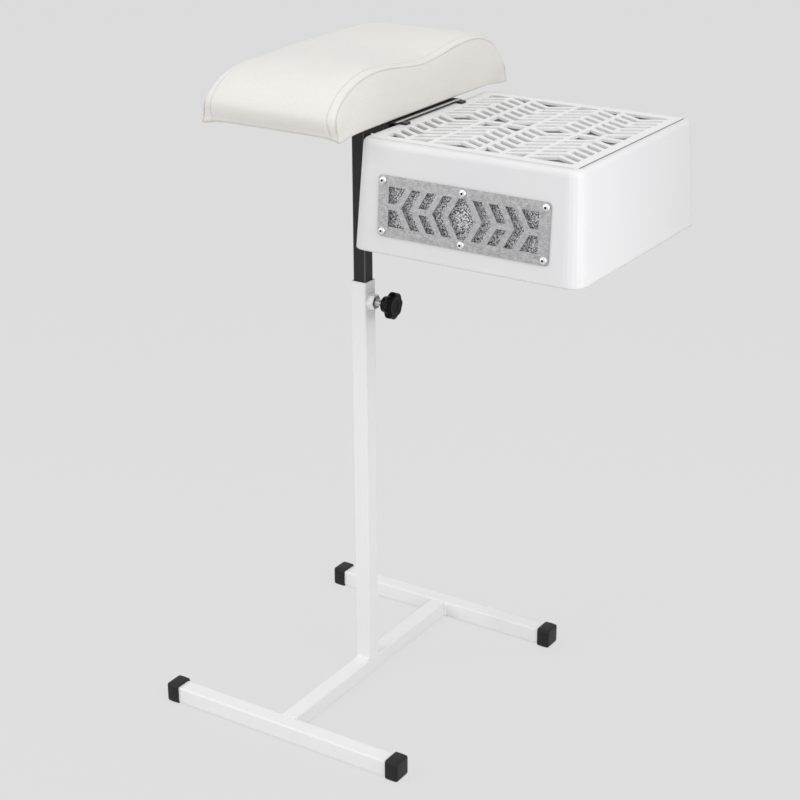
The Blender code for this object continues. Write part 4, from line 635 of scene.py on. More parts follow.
raised = CROWN * (1 - np.abs(across) ** CROWN_POWER) * eased(to_hem / CROWN_RUN)[:, None]
top = np.stack([blend(-seam_place(back_z), seam_place(front_z)),
                blend(back_y, front_y) + raised * normal_y[:, None],
                blend(back_z, front_z) + raised * normal_z[:, None]], axis=-1)
right_side = side_panel(front_y, front_z)
left_side = (side_panel(back_y, back_z) * (-1, 1, 1))[:, ::-1]
cover = np.concatenate([left_side, top, right_side], axis=1) + (CUSHION_X, CUSHION_Y, UNDERSIDE)
LEFT_SEAM, RIGHT_SEAM = len(side_share), cover.shape[1] - 1 - len(side_share)
print("cover grid:", cover.shape[0], "x", cover.shape[1], "points")

# %% [markdown]
# Underneath, the cover is folded round the edge of the plywood board and stapled to it. The hem is the
# grid's own border, so rings of faces go on from it: in to the flap's uneven edge, round that edge, back
# out above the flap to the board's pocket and up the pocket's wall. Strips from side to side close the
# pocket, where the board hides it.

# %% Cushion mesh
board_low, board_high = map(np.array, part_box("cushion_board"))
POCKET_GAP, FLAP, FLAP_GAP, FLAP_WAVE = 0.9 * MM, 18 * MM, 0.15 * MM, 0.8 * MM


def cells(number):
    """Four corners of every cell of a grid of point numbers."""
    corners = [number[:-1, :-1], number[:-1, 1:], number[1:, 1:], number[1:, :-1]]
    return np.stack(corners, axis=-1).reshape(-1, 4)


def ring_faces(outer, inner):
    """Cells between two closed rows of the same number of points."""
    return np.stack([outer, inner, np.roll(inner, -1), np.roll(outer, -1)], axis=-1)


def new_piece(name, points, faces, body, finish, sharp=None):
    """A smooth piece from points and faces, sharp above an angle, with its body, slot and finish."""
    mesh = bpy.data.meshes.new(name)
    mesh.from_pydata(np.asarray(points).tolist(), [], faces if isinstance(faces, list) else faces.tolist())
    mesh.polygons.foreach_set("use_smooth", np.full(len(mesh.polygons), True))
    if sharp:
        mesh.set_sharp_from_angle(angle=math.radians(sharp))
    piece = bpy.data.objects.new(name, mesh)
    bpy.context.collection.objects.link(piece)
    mesh.materials.append(finish)
    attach(piece, body)
    return piece


rows, columns = cover.shape[:2]
number = np.arange(rows * columns).reshape(rows, columns)
border = np.concatenate([number[0], number[1:, -1], number[-1, -2::-1], number[-2:0:-1, 0]])
skin = cover.reshape(-1, 3)
hem_loop = skin[border]
middle = np.array([CUSHION_X, CUSHION_Y, 0])
reach = np.abs(hem_loop - middle)[:, :2].max(axis=0)


def under(half, height):
    """The hem's loop shrunk to a half width and half length, at a height."""
    loop = middle + (hem_loop - middle) * [*(half / reach), 0]
    loop[:, 2] = height
    return loop


hem_order = np.arange(len(border))
wave = FLAP_WAVE * np.sin(hem_order * 0.9) * np.sin(hem_order * 0.23 + 1)
flap_low = under(reach - FLAP, UNDERSIDE - HEM_DROP)
flap_low[:, :2] *= 1 + wave[:, None] / HALF_WIDTH
flap_high = flap_low + (0, 0, HEM_DROP - FLAP_GAP)
pocket_half = (board_high - board_low)[:2] / 2 + POCKET_GAP
pocket_edge = under(pocket_half, UNDERSIDE - FLAP_GAP)
pocket_top = under(pocket_half, board_high[2] + POCKET_GAP)
loops = [border] + [rows * columns + len(border) * ring + hem_order for ring in range(4)]
cushion_points = np.concatenate([skin, flap_low, flap_high, pocket_edge, pocket_top])
# The pocket's top: strips between its two sides, and one many-sided face at each end.
top_number = loops[-1]
near_row, far_row = top_number[:columns], top_number[columns + rows - 2:-(rows - 2)]
right_row, left_row = top_number[columns:columns + rows - 2], top_number[:-(rows - 1):-1]
strips = np.stack([left_row[:-1], left_row[1:], right_row[1:], right_row[:-1]], axis=-1)
ends = [[*near_row[::-1].tolist(), int(left_row[0]), int(right_row[0])],
        [*far_row[::-1].tolist(), int(right_row[-1]), int(left_row[-1])]]
rings = np.concatenate([ring_faces(outer, inner) for outer, inner in zip(loops[:-1], loops[1:])])
cushion_faces = cells(number).tolist() + rings.tolist() + strips.tolist() + ends
print("cushion:", len(cushion_points), "points,", len(cushion_faces), "faces")

# %% [markdown]
# The foam presses the cover outwards and the seams hold it back. That is a cloth simulation: the cover
# starts a little too small, air pressure stands for the foam, the hem and the underside are pinned and the
# seams nearly so. No point may move further than a few millimetres, so the cushion keeps its measured form.

# %% Cushion, filled by simulation
FILL_START, FILL_LIMIT, FILL_FRAMES = 1.6 * MM, 4.5 * MM, 20
SEAM_HOLD, TOPSTITCH_HOLD = 0.8, 0.4


def grid_normals(points):
    """Unit normals of a grid: the cross product of its two directions, each from central differences."""
    normals = np.cross(np.gradient(points, axis=1), np.gradient(points, axis=0))
    return normals / np.linalg.norm(normals, axis=-1, keepdims=True)


def filled(points, faces, hold):
    """Points of a cloth after air pressure has acted on it; hold runs from 0, free, to 1, pinned."""
    mesh = bpy.data.meshes.new("cover_trial")
    mesh.from_pydata(points.tolist(), [], faces)
    trial = bpy.data.objects.new("cover_trial", mesh)
    bpy.context.collection.objects.link(trial)
    group = trial.vertex_groups.new(name="held")
    for weight in np.unique(hold):
        group.add(np.flatnonzero(hold == weight).tolist(), float(weight), "REPLACE")
    cloth = trial.modifiers.new("cloth", "CLOTH")
    cloth.settings.quality = 6
    cloth.settings.mass = 0.3
    cloth.settings.tension_stiffness = cloth.settings.compression_stiffness = 12
    cloth.settings.shear_stiffness = 6
    cloth.settings.bending_stiffness = 2
    cloth.settings.use_pressure = True
    cloth.settings.uniform_pressure_force = 4
    cloth.settings.vertex_group_mass = "held"
    cloth.settings.effector_weights.gravity = 0
    cloth.collision_settings.use_collision = False
    cloth.point_cache.frame_start, cloth.point_cache.frame_end = 1, FILL_FRAMES
    scene = bpy.context.scene
    for moment in range(1, FILL_FRAMES + 1):
        scene.frame_set(moment)
    shaped = trial.evaluated_get(bpy.context.evaluated_depsgraph_get()).to_mesh()
    result = np.empty(len(points) * 3, dtype=np.float32)
    shaped.vertices.foreach_get("co", result)
    scene.frame_set(1)
    bpy.data.objects.remove(trial)
    bpy.data.meshes.remove(mesh)
    return result.reshape(-1, 3).astype(float)


start = cushion_points.copy()
inward = grid_normals(cover) * FILL_START
inward[[0, -1]] = 0
inward[:, [0, -1]] = 0
start[:rows * columns] -= inward.reshape(-1, 3)
hold = np.ones(len(start))
grid_hold = np.zeros((rows, columns))
grid_hold[:, [LEFT_SEAM, RIGHT_SEAM]] = SEAM_HOLD
grid_hold[:, [LEFT_SEAM + STITCHED, RIGHT_SEAM - STITCHED]] = TOPSTITCH_HOLD
grid_hold[[0, 1, -2, -1]] = 1
grid_hold[:, [0, -1]] = 1
hold[:rows * columns] = grid_hold.ravel()
moved = filled(start, cushion_faces, hold) - start
moved_by = np.linalg.norm(moved, axis=1, keepdims=True)
cushion_points = start + moved * np.minimum(1, FILL_LIMIT / np.maximum(moved_by, 1e-9))
print("cover moved by up to", round(float(moved_by.max() / MM), 2), "mm, kept to", FILL_LIMIT / MM)

# %% [markdown]
# Sewing leaves its marks on the filled cover. Along the seam the panels dive into a groove; along the
# topstitch, 10 mm further in, the thread draws a shallower one. Between them the layers inside make the
# strip stand a little proud. At the bottom corners the hem is gathered, curls down and stands off as a
# small ear, and the whole cover is slightly uneven. Each of these is a move that depends on the place in
# the grid: along the normal, or outwards and down for the ears.

# %% Seams, gathers and unevenness
SEAM_DEPTH, TOPSTITCH_DEPTH, STRIP_RISE = 1.4 * MM, 0.8 * MM, 0.5 * MM
SEAM_WIDTH, TOPSTITCH_WIDTH, STRIP_WIDTH = 0.9 * MM, 0.75 * MM, 3 * MM
SEAM_FADE, SEAM_DARK_WIDTH, HEM_DARK_WIDTH = 9 * MM, 1.1 * MM, 1.5 * MM
EAR_REACH, EAR_SPREAD, EAR_HEIGHT = 4.0 * MM, 7 * MM, 5 * MM
CURL_DROP, CURL_SPREAD = 2.4 * MM, 17 * MM
sewn = cushion_points[:rows * columns].reshape(rows, columns, 3)
out = grid_normals(sewn)
seam_offset = np.empty(columns)
seam_offset[LEFT_SEAM:RIGHT_SEAM + 1] = np.minimum(1 + across, 1 - across) * (HALF_WIDTH - SEAM_SET)
beside = side_share * NEAR_CREST
seam_offset[RIGHT_SEAM + 1:], seam_offset[:LEFT_SEAM] = -beside, -beside[::-1]
groove = (SEAM_DEPTH * np.exp(-(seam_offset / SEAM_WIDTH) ** 2)
          + TOPSTITCH_DEPTH * np.exp(-((seam_offset - TOPSTITCH_SET) / TOPSTITCH_WIDTH) ** 2)
          - STRIP_RISE * np.exp(-((seam_offset - TOPSTITCH_SET / 2) / STRIP_WIDTH) ** 2))
fade = eased(to_hem / SEAM_FADE)[:, None]
px, py, pz = np.moveaxis(sewn - (CUSHION_X, CUSHION_Y, UNDERSIDE), -1, 0)
waves = (np.sin(px / (21 * MM) + 1.3) * np.sin(py / (27 * MM) + 0.4) + np.sin((px + py) / (34 * MM) + 2.0)
         + 0.6 * np.sin(py / (13 * MM) + 3 * np.sin(px / (40 * MM))))
near_ends = np.exp(-((np.abs(py) - HALF_LENGTH) / (16 * MM)) ** 2)
gathers = np.sin(py / (3.1 * MM)) * np.exp(-pz / (5 * MM)) * near_ends
uneven = (0.22 * waves + 0.25 * gathers) * MM * eased(pz / (12 * MM) + 0.3)
to_corner = np.hypot(np.abs(px) - HALF_WIDTH, np.abs(py) - HALF_LENGTH)
at_hem = np.exp(-((pz + HEM_DROP) / EAR_HEIGHT) ** 2)
ear = EAR_REACH * np.exp(-(to_corner / EAR_SPREAD) ** 2) * at_hem
curl = CURL_DROP * np.exp(-(to_corner / CURL_SPREAD) ** 2) * at_hem
sewn = sewn + out * (uneven - groove * fade)[..., None]
sewn += np.stack([np.sign(px) * ear * 0.7, np.sign(py) * ear, -ear * 0.3 - curl], axis=-1)
cushion_points[:rows * columns] = sewn.reshape(-1, 3)
# Painted shade with some dirt: darker along the seams and just above the hem.
crease = np.zeros(len(cushion_points))
soiled_and_shaded = (0.75 * np.exp(-(seam_offset / SEAM_DARK_WIDTH) ** 2) * fade
          + 0.5 * np.exp(-((pz + HEM_DROP) / HEM_DARK_WIDTH) ** 2))
crease[:rows * columns] = np.clip(soiled_and_shaded, 0, 1).ravel()
print("seams sunk by", SEAM_DEPTH / MM, "mm, topstitch", TOPSTITCH_SET / MM, "mm in from them")

# %% [markdown]
# The cover becomes one piece that stands for the cushion's solid. The same smoothness could come from a
# finer grid, but one level of Subdivision Surface does it after the simulation, which then has fewer points
# to move. The crease mask goes along as an attribute, where the leatherette finds it.

# %% Cushion cover as a piece
cover_piece = new_piece("cushion_cover", cushion_points, cushion_faces, "head",
                        leatherette)
cover_piece.data.attributes.new("crease", "FLOAT", "POINT").data.foreach_set("value", crease)
finer = cover_piece.modifiers.new("finer", "SUBSURF")
finer.levels = finer.render_levels = 1
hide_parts("cushion")
print("cover piece:", len(cushion_faces), "faces before it is made finer")

# %% [markdown]
# The topstitch itself is thread: short, slightly sunk loops at a pitch of 4 mm. One loop is a thin spindle,
# a circle whose radius closes at both ends, carried along the grooved line. Staples, weld beads and
# stitches are all round bodies from one point to another, so one function works out any number of them
# together.


# %% Topstitching
STITCH_PITCH, STITCH_LENGTH, THREAD, THREAD_LIFT = 4.0 * MM, 3.1 * MM, 0.42 * MM, 0.30 * MM
SPINDLE = [0.1, 0.94, 1, 0.94, 0.1]


def stacked(points):
    """Points and faces of closed bodies made of rings: walls between them, and caps on the first and last."""
    count, turns, sides = points.shape[:3]
    ring = np.arange(turns * sides).reshape(turns, sides)
    walls = np.concatenate([ring_faces(a, b) for a, b in zip(ring[:-1], ring[1:])])
    first = (np.arange(count) * turns * sides)[:, None, None]
    faces = (first + walls).reshape(-1, 4).tolist()
    faces += (first[:, 0] + ring[0]).tolist() + (first[:, 0] + ring[-1][::-1]).tolist()
    return points.reshape(-1, 3), faces


def rods(starts, ends, outward, radius, profile, sides=6):
    """Closed round bodies from starts to ends: circles whose radius is one radius times a profile."""
    starts, ends, outward = (np.asarray(part, dtype=float) for part in (starts, ends, outward))
    ahead = (ends - starts) / np.linalg.norm(ends - starts, axis=1, keepdims=True)
    aside = np.cross(outward, ahead)
    starts, ends, outward, aside = (part[:, None, None] for part in (starts, ends, outward, aside))
    along = np.linspace(0, 1, len(profile))[:, None, None]
    angle = (np.arange(sides) * 2 * np.pi / sides)[:, None]
    circle = outward * np.cos(angle) + aside * np.sin(angle)
    return stacked(starts + (ends - starts) * along + circle * radius * np.asarray(profile)[:, None, None])


def along_line(points, normals, pitch):
    """Places at an even pitch along a line of points: position, direction ahead, and outward normal."""
    travel = np.concatenate([[0], np.cumsum(np.linalg.norm(np.diff(points, axis=0), axis=1))])
    place = np.arange(pitch, travel[-1] - pitch / 2, pitch)
    at = np.stack([np.interp(place, travel, points[:, i]) for i in range(3)], axis=-1)
    ahead = np.gradient(at, axis=0)
    ahead /= np.linalg.norm(ahead, axis=1, keepdims=True)
    outward = np.stack([np.interp(place, travel, normals[:, i]) for i in range(3)], axis=-1)
    outward -= ahead * (outward * ahead).sum(axis=1, keepdims=True)
    return at, ahead, outward / np.linalg.norm(outward, axis=1, keepdims=True)


sewn_normals = grid_normals(sewn)
lines = [along_line(sewn[:, column], sewn_normals[:, column], STITCH_PITCH)
         for column in (LEFT_SEAM + STITCHED, RIGHT_SEAM - STITCHED)]
stitch, ahead, outward = (np.concatenate(part) for part in zip(*lines))
stitch = stitch + outward * THREAD_LIFT
half_stitch = ahead * STITCH_LENGTH / 2
points, faces = rods(stitch - half_stitch, stitch + half_stitch, outward, THREAD, SPINDLE)
new_piece("cushion_topstitch", points, faces, "head", thread)
print("topstitch:", len(stitch), "stitches")

# %% [markdown]
# Staples hold the flap under the board. They are only seen from below: wire, 10 mm wide, one every 28 mm.

# %% Staples
STAPLE, STAPLE_WIRE, STAPLE_SET, STAPLE_PITCH = 10 * MM, 0.45 * MM, 9 * MM, 28 * MM
run_y = np.arange(-5, 6) * STAPLE_PITCH
run_x = np.arange(-2, 3) * STAPLE_PITCH
side_x, end_y = HALF_WIDTH - STAPLE_SET, HALF_LENGTH - STAPLE_SET
crown = np.array([(x, y, 0, 0, 1, 0) for x in (-side_x, side_x) for y in run_y]
                 + [(x, y, 0, 1, 0, 0) for y in (-end_y, end_y) for x in run_x])
crown[:, :3] += (CUSHION_X, CUSHION_Y, UNDERSIDE - HEM_DROP - STAPLE_WIRE / 2)
half_crown = crown[:, 3:] * STAPLE / 2
points, faces = rods(crown[:, :3] - half_crown, crown[:, :3] + half_crown, [(0, 0, -1)] * len(crown),
                     STAPLE_WIRE, [0.3, 1, 1, 0.3])
new_piece("cushion_staples", points, faces, "head", zinc)
print("staples:", len(crown))

# %% [markdown]
# ## Filter pads
#
# The three filters are soft pads: one of felt under the grille, with a notch for a finger, and one of wool
# behind each side plate. A subdivided box would be too crisp. Here a pad is two grids that share their
# border, a front and a back; near the border both curve towards each other in a quarter circle, and a sum
# of waves makes them uneven.


# %% Filter pads
HOOD_DRAFT, HOOD_WALL = 7.0 * MM, 114.7 * MM
WALL_LEAN = math.atan2(HOOD_DRAFT, HOOD_WALL)
WALL_UP, WALL_IN = math.cos(WALL_LEAN), math.sin(WALL_LEAN)
FINGER_LENGTH, FINGER_WIDTH = 62 * MM, 16 * MM
FELT_EDGE, FELT_UNEVEN = 3 * MM, 0.8 * MM
WOOL_HALF, WOOL_THICK, WOOL_EDGE, WOOL_UNEVEN = 24.4 * MM, 10 * MM, 2 * MM, 0.9 * MM
PAD_STEPS, WOOL_STEPS = 60, 30


def even_then_dense(low, high, count, *places):
    """Places from low to high, closer together towards both ends, and some more round given places."""
    spread = (1 - np.cos(np.linspace(0, np.pi, count))) / 2
    extra = [place + step * MM for place in places for step in (-2, -1, 0, 1, 2)]
    return np.sort(np.concatenate([low + (high - low) * spread, extra]))


def pad(v, left, right, thickness, edge, depth, notch=None):
    """Points and faces of a pad: u runs from left to right at each v, and w is its thickness.

    Half the thickness is multiplied by the root of 1 - (1 - d)^2, where d is the distance from the border as
    a share of the edge's radius. A sum of sines, up to the depth, is taken off the front."""
    share = (1 - np.cos(np.linspace(0, np.pi, PAD_STEPS))) / 2
    u = left + (right - left)[:, None] * share
    v = np.broadcast_to(v[:, None], u.shape)
    apart = np.minimum(np.minimum(u - left, right[:, None] - u), np.minimum(v - v.min(), v.max() - v))
    if notch:
        beyond = np.maximum(notch[0] - u, v - notch[1])
        apart = np.minimum(apart, np.maximum(beyond, 0))
    lift = thickness / 2 * np.sqrt(1 - (1 - np.clip(apart / edge, 0, 1)) ** 2)
    waves = (np.sin(u / (7 * MM) + 2 * np.sin(v / (11 * MM))) * np.sin(v / (6 * MM) + 1)
             + np.sin((u + 2 * v) / (5 * MM))) / 4
    front = np.stack([u, v, lift - depth * (0.5 + waves) * eased(apart / edge)], axis=-1)
    back = np.stack([u, v, -lift], axis=-1)[1:-1, 1:-1]
    number = np.arange(u.size).reshape(u.shape)
    behind = number.copy()
    behind[1:-1, 1:-1] = u.size + np.arange(back[..., 0].size).reshape(back.shape[:2])
    faces = np.concatenate([cells(number), cells(behind)[:, ::-1]])
    return np.concatenate([front.reshape(-1, 3), back.reshape(-1, 3)]), faces


pad_low, pad_high = map(np.array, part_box("filter_pad"))
notch_u, notch_v = pad_high[0] - FINGER_LENGTH, pad_low[1] + FINGER_WIDTH
v = even_then_dense(pad_low[1], pad_high[1], PAD_STEPS, notch_v)
right_edge = pad_high[0] - FINGER_LENGTH * (1 - eased((v - notch_v + MM) / (2 * MM)))
points, faces = pad(v, pad_low[0], right_edge, pad_high[2] - pad_low[2], FELT_EDGE, FELT_UNEVEN,
                    notch=(notch_u, notch_v))
points = points + (0, 0, (pad_low[2] + pad_high[2]) / 2)
felt_pad = new_piece("filter_felt_pad", points, faces, "head", filter_felt)
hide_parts("filter_pad")

for word, side in (("near", -1), ("far", 1)):
    wool_low, wool_high = map(np.array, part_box("exhaust_filter_" + word))
    half_u = (wool_high[0] - wool_low[0]) / 2
    v = even_then_dense(-WOOL_HALF, WOOL_HALF, WOOL_STEPS)
    points, faces = pad(v, -half_u, np.full(len(v), half_u), WOOL_THICK, WOOL_EDGE, WOOL_UNEVEN)
    across_wall = np.array([-side, 0, 0])
    up_wall = np.array([0, -side * WALL_IN, WALL_UP])
    wall_axes = np.array([across_wall, up_wall, np.cross(across_wall, up_wall)])
    wool_pad = new_piece("exhaust_wool_" + word, points @ wall_axes + (wool_low + wool_high) / 2, faces,
                         "head", filter_wool)
    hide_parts("exhaust_filter_" + word)
print("three filter pads")

# %% [markdown]
# ## Fasteners
#
# The plates are held by button-head screws with a hexagon socket. A head is a stack of rings from the
# socket's floor up its six-sided wall, over the dome, round the rim, in under the head and down the shank.
# The rings are worked out once for screws of a kind and then placed at each screw of the frame: the screw's
# axis is known, and its outer end is found from the points of its solid that lie furthest along that axis.
# The sockets' walls and floors are painted dark as the shade inside them.


# %% Button-head screws
SCREW_SIDES, DOME_RINGS, DOME_POWER = 24, 6, 2.4
# Heights as shares of the head's: how far the dome falls, the socket's floor and its brim.
DOME_SHARE, SOCKET_DEPTH, SOCKET_BRIM = 0.8, 0.62, 0.04
# Widths as shares of the socket's flats: the ring round it and the dome's start.
SOCKET_RING, DOME_START = 1.2, 1.25
# A direction no screw has, the turn from one screw to the next, and the slice that counts as its end.
SKEW, TURN_STEP, END_SLICE = (0.3, 0.5, 0.81), 0.7, 0.05 * MM
# Painted shade: a near-black finish for the inside of the screw sockets.
socket_shade, _, _ = new_finish("painted shade in a screw socket", Base_Color=linear("#17171A"), Roughness=0.7)


def node_points(name):
    """The points of a node's solid as an array."""
    mesh = nodes[name].data
    points = np.empty(len(mesh.vertices) * 3)
    mesh.vertices.foreach_get("co", points)
    place = nodes[name].matrix_world
    return points.reshape(-1, 3) @ np.array(place.to_3x3()).T + place.translation


def button_screw(head, height, shank, length, socket):
    """Rings of one screw along +Z, its dome's top at 0; sizes are diameters, a height, a length and flats.

    A hexagon's radius is half its flats over the cosine of the angle from the nearest flat. The dome falls by
    1 - root(1 - r^p), with r the share of the head's radius."""
    angle = np.arange(SCREW_SIDES) * 2 * np.pi / SCREW_SIDES
    hexagon = 0.5 / np.cos((angle + np.pi / 6) % (np.pi / 3) - np.pi / 6)
    circle = np.full(SCREW_SIDES, 0.5)
    dome = np.linspace(socket * DOME_START / head, 1, DOME_RINGS)
    fall = 1 - np.sqrt(np.maximum(1 - dome ** DOME_POWER, 0))
    rings = [(hexagon * socket, -height * SOCKET_DEPTH), (hexagon * socket, -height * SOCKET_BRIM),
             (circle * socket * SOCKET_RING, 0)]
    rings += [(circle * head * r, -height * DOME_SHARE * f) for r, f in zip(dome, fall)]
    rings += [(circle * head, -height), (circle * shank, -height), (circle * shank, -height - length)]
    return np.stack([np.stack([r * np.cos(angle), r * np.sin(angle), np.full(SCREW_SIDES, z)], axis=-1)
                     for r, z in rings])


def place_screws(name, screw_names, axis, sizes):
    """One piece for a group of screws with the same axis and sizes, each turned on a little further."""
    axis = np.array(axis) / np.linalg.norm(axis)
    aside = np.cross(axis, SKEW)
    aside /= np.linalg.norm(aside)
    rings = button_screw(**sizes)
    placed = []
    for order, screw in enumerate(screw_names):
        solid = node_points(screw)
        reach = solid @ axis
        end = solid[reach > reach.max() - END_SLICE].mean(axis=0)
        first = np.array(Matrix.Rotation(order * TURN_STEP, 3, Vector(axis)) @ Vector(aside))
        placed.append(rings @ np.array([first, np.cross(axis, first), axis]) + end)
    placed = np.array(placed)
    points, faces = stacked(placed)
    piece = new_piece(name, points, faces, "head", screw_zinc, sharp=35)
    piece.data.materials.append(socket_shade)
    in_socket = np.zeros((len(placed), placed.shape[1] - 1, SCREW_SIDES), dtype=np.int32)
    in_socket[:, 0] = 1
    floors, tips = np.ones(len(placed), dtype=np.int32), np.zeros(len(placed), dtype=np.int32)
    piece.data.polygons.foreach_set("material_index", np.concatenate([in_socket.ravel(), floors, tips]))
    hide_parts(*screw_names)


PLATE_SCREW = dict(head=8.0 * MM, height=2.6 * MM, shank=3.0 * MM, length=6.5 * MM, socket=2.5 * MM)
SEAT_SCREW = dict(PLATE_SCREW, shank=4.0 * MM, length=11.5 * MM)
HANGER_BOLT = dict(head=9.5 * MM, height=3.0 * MM, shank=5.0 * MM, length=7.2 * MM, socket=3.0 * MM)
SCREWS = [
    ("near_plate_screw", 6, (0, -WALL_UP, WALL_IN), PLATE_SCREW),
    ("far_plate_screw", 6, (0, WALL_UP, WALL_IN), PLATE_SCREW),
    ("base_screw", 4, (0, 0, -1), PLATE_SCREW),
    ("seat_screw", 4, (0, 0, -1), SEAT_SCREW),
    ("hanger_bolt", 2, (-1, 0, 0), HANGER_BOLT),
]
for stem, count, axis, screw_sizes in SCREWS:
    place_screws(stem + "s", ["%s_%d" % (stem, n) for n in range(1, count + 1)], axis, screw_sizes)
print("screws placed:", sum(count for _, count, _, _ in SCREWS))

# %% [markdown]
# ## Clamp
#
# The knob is turned from one profile, and its head is scalloped: round the axis, the radius swings in
# between the lobes. Eight cylinders could be cut from a disc instead, but their edges would need rounding
# one by one.

# %% Knob
knob_low, knob_high = map(np.array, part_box("clamp_knob"))
AXIS_Y, AXIS_Z = (knob_low[1:] + knob_high[1:]) / 2
KNOB_FRONT, KNOB_LENGTH = knob_high[0], knob_high[0] - knob_low[0]
HEAD, HUB, BORE, BORE_DEPTH = 16 * MM, 9.25 * MM, 4.3 * MM, 5 * MM
FRONT_ROUND, BACK_SET, BACK_ROUND = 3.6 * MM, 6.2 * MM, 3.8 * MM
LOBES, SCALLOP, SCALLOP_POWER, KNOB_SIDES = 8, 1.7 * MM, 1.6, 96
# Shares of the head's radius: where its front edge begins to fall, and where the scallops begin.
FLAT, SCALLOP_START = 0.66, 0.62


def turned(x, radius, angle):
    """Points round the clamp's axis: x along it, and a radius that may differ at each angle."""
    return np.stack([np.broadcast_to(x, radius.shape), AXIS_Y + radius * np.cos(angle),
                     AXIS_Z + radius * np.sin(angle)], axis=-1)


# The profile is pairs of radius and depth: the sunk face, two quarter ellipses, the hub and the blind bore.
quarter = np.linspace(0, np.pi / 2, 9)
sunk_face = [(0.50 * HEAD, -1.2 * MM), (0.56 * HEAD, -1.1 * MM), (0.60 * HEAD, -0.3 * MM), (0.63 * HEAD, 0)]
front_edge = np.stack([HEAD * (FLAT + (1 - FLAT) * np.sin(quarter)),
                       -FRONT_ROUND * (1 - np.cos(quarter))], axis=-1)
back_edge = np.stack([HUB + (HEAD - HUB) * np.cos(quarter),
                      -BACK_SET - BACK_ROUND * np.sin(quarter)], axis=-1)
hub = [(HUB, -KNOB_LENGTH + 1.5 * MM), (HUB * 0.97, -KNOB_LENGTH + 0.5 * MM), (HUB * 0.9, -KNOB_LENGTH)]
bore = [(BORE, -KNOB_LENGTH), (BORE, -KNOB_LENGTH + BORE_DEPTH)]
radius, depth = np.concatenate([sunk_face, front_edge, back_edge, hub, bore]).T[..., None]
angle = np.arange(KNOB_SIDES) * 2 * np.pi / KNOB_SIDES
lobe_share = np.clip((radius / HEAD - SCALLOP_START) / (1 - SCALLOP_START), 0, 1)
lobed = radius - SCALLOP * lobe_share * (1 - np.abs(np.cos(angle * LOBES / 2)) ** SCALLOP_POWER)
points, faces = stacked(turned(KNOB_FRONT + depth, lobed, angle)[None])
knob_piece = new_piece("knob_moulding", points, faces, "knob", knob_plastic, sharp=45)
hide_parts("clamp_knob")
print("knob with", LOBES, "lobes")

# %% [markdown]
# The stud is an M8 thread. Its surface could be a swept helix; a shorter way is a rod whose radius depends on
# the angle and on the place along it, so that one wave runs round the rod once per pitch.

# %% Stud
stud_low, stud_high = map(np.array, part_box("clamp_stud"))
THREAD_PITCH, THREAD_DEPTH, STUD = 1.25 * MM, 0.6 * MM, (stud_high[1] - stud_low[1]) / 2
STUD_SIDES, RINGS_PER_TURN = 32, 9
stud_turns = (stud_high[0] - stud_low[0]) / THREAD_PITCH
stud_angle = np.arange(STUD_SIDES) * 2 * np.pi / STUD_SIDES
stud_x = np.linspace(stud_high[0], stud_low[0], round(stud_turns * RINGS_PER_TURN))[:, None]
flank = 1 - np.abs(2 * ((stud_x / THREAD_PITCH - stud_angle / (2 * np.pi)) % 1) - 1)
chamfer = np.clip((stud_x - stud_low[0]) / MM, 0, 1)
threaded = STUD - THREAD_DEPTH + THREAD_DEPTH * flank * chamfer
points, faces = stacked(turned(stud_x, threaded, stud_angle)[None])
stud_piece = new_piece("stud_thread", points, faces, "clamp_screw", zinc)
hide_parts("clamp_stud")
print("stud with", round(stud_turns), "turns of thread")

# %% [markdown]
# ## End caps
#
# The caps are soft plastic pushed over the tubes' ends, and the stand rests on them. They could be cubes
# with a Bevel modifier. As moulded pieces they are better given as rings of a square with round corners:
# the closed end, a round edge, a wall that swells slightly, the lip at the mouth, and the inside up to the
# tube's end. They stand a little proud of the solids at the sides and on top; their soles stay on the
# floor.


# %% End caps
CAP_ROUND, CAP_CORNER, CAP_LIP, CAP_SWELL = 2.6 * MM, 3.4 * MM, 0.7 * MM, 0.3 * MM
CAP_PROUD, CAP_TOP_PROUD, CAP_PLAY = 0.9 * MM, 1.6 * MM, 0.15 * MM
INNER_CORNER, LEAST_CORNER, CORNER_STEPS, EDGE_RINGS = 1.5 * MM, 0.8 * MM, 7, 6
corner_angle = np.tile(np.linspace(0, np.pi / 2, CORNER_STEPS), 4)
cap_angle = np.repeat(np.arange(4), CORNER_STEPS) * np.pi / 2 + corner_angle
cap_side = np.repeat([(1, 1), (-1, 1), (-1, -1), (1, -1)], CORNER_STEPS, axis=0)


def square_rings(half, inset, corner):
    """Rings of a round-cornered square, each drawn in by an inset: corner middles plus quarter circles."""
    inset = np.asarray(inset)[:, None, None]
    bend = np.maximum(corner - inset, LEAST_CORNER)
    return cap_side * (half - inset - bend) + bend * np.stack([np.cos(cap_angle), np.sin(cap_angle)], axis=-1)


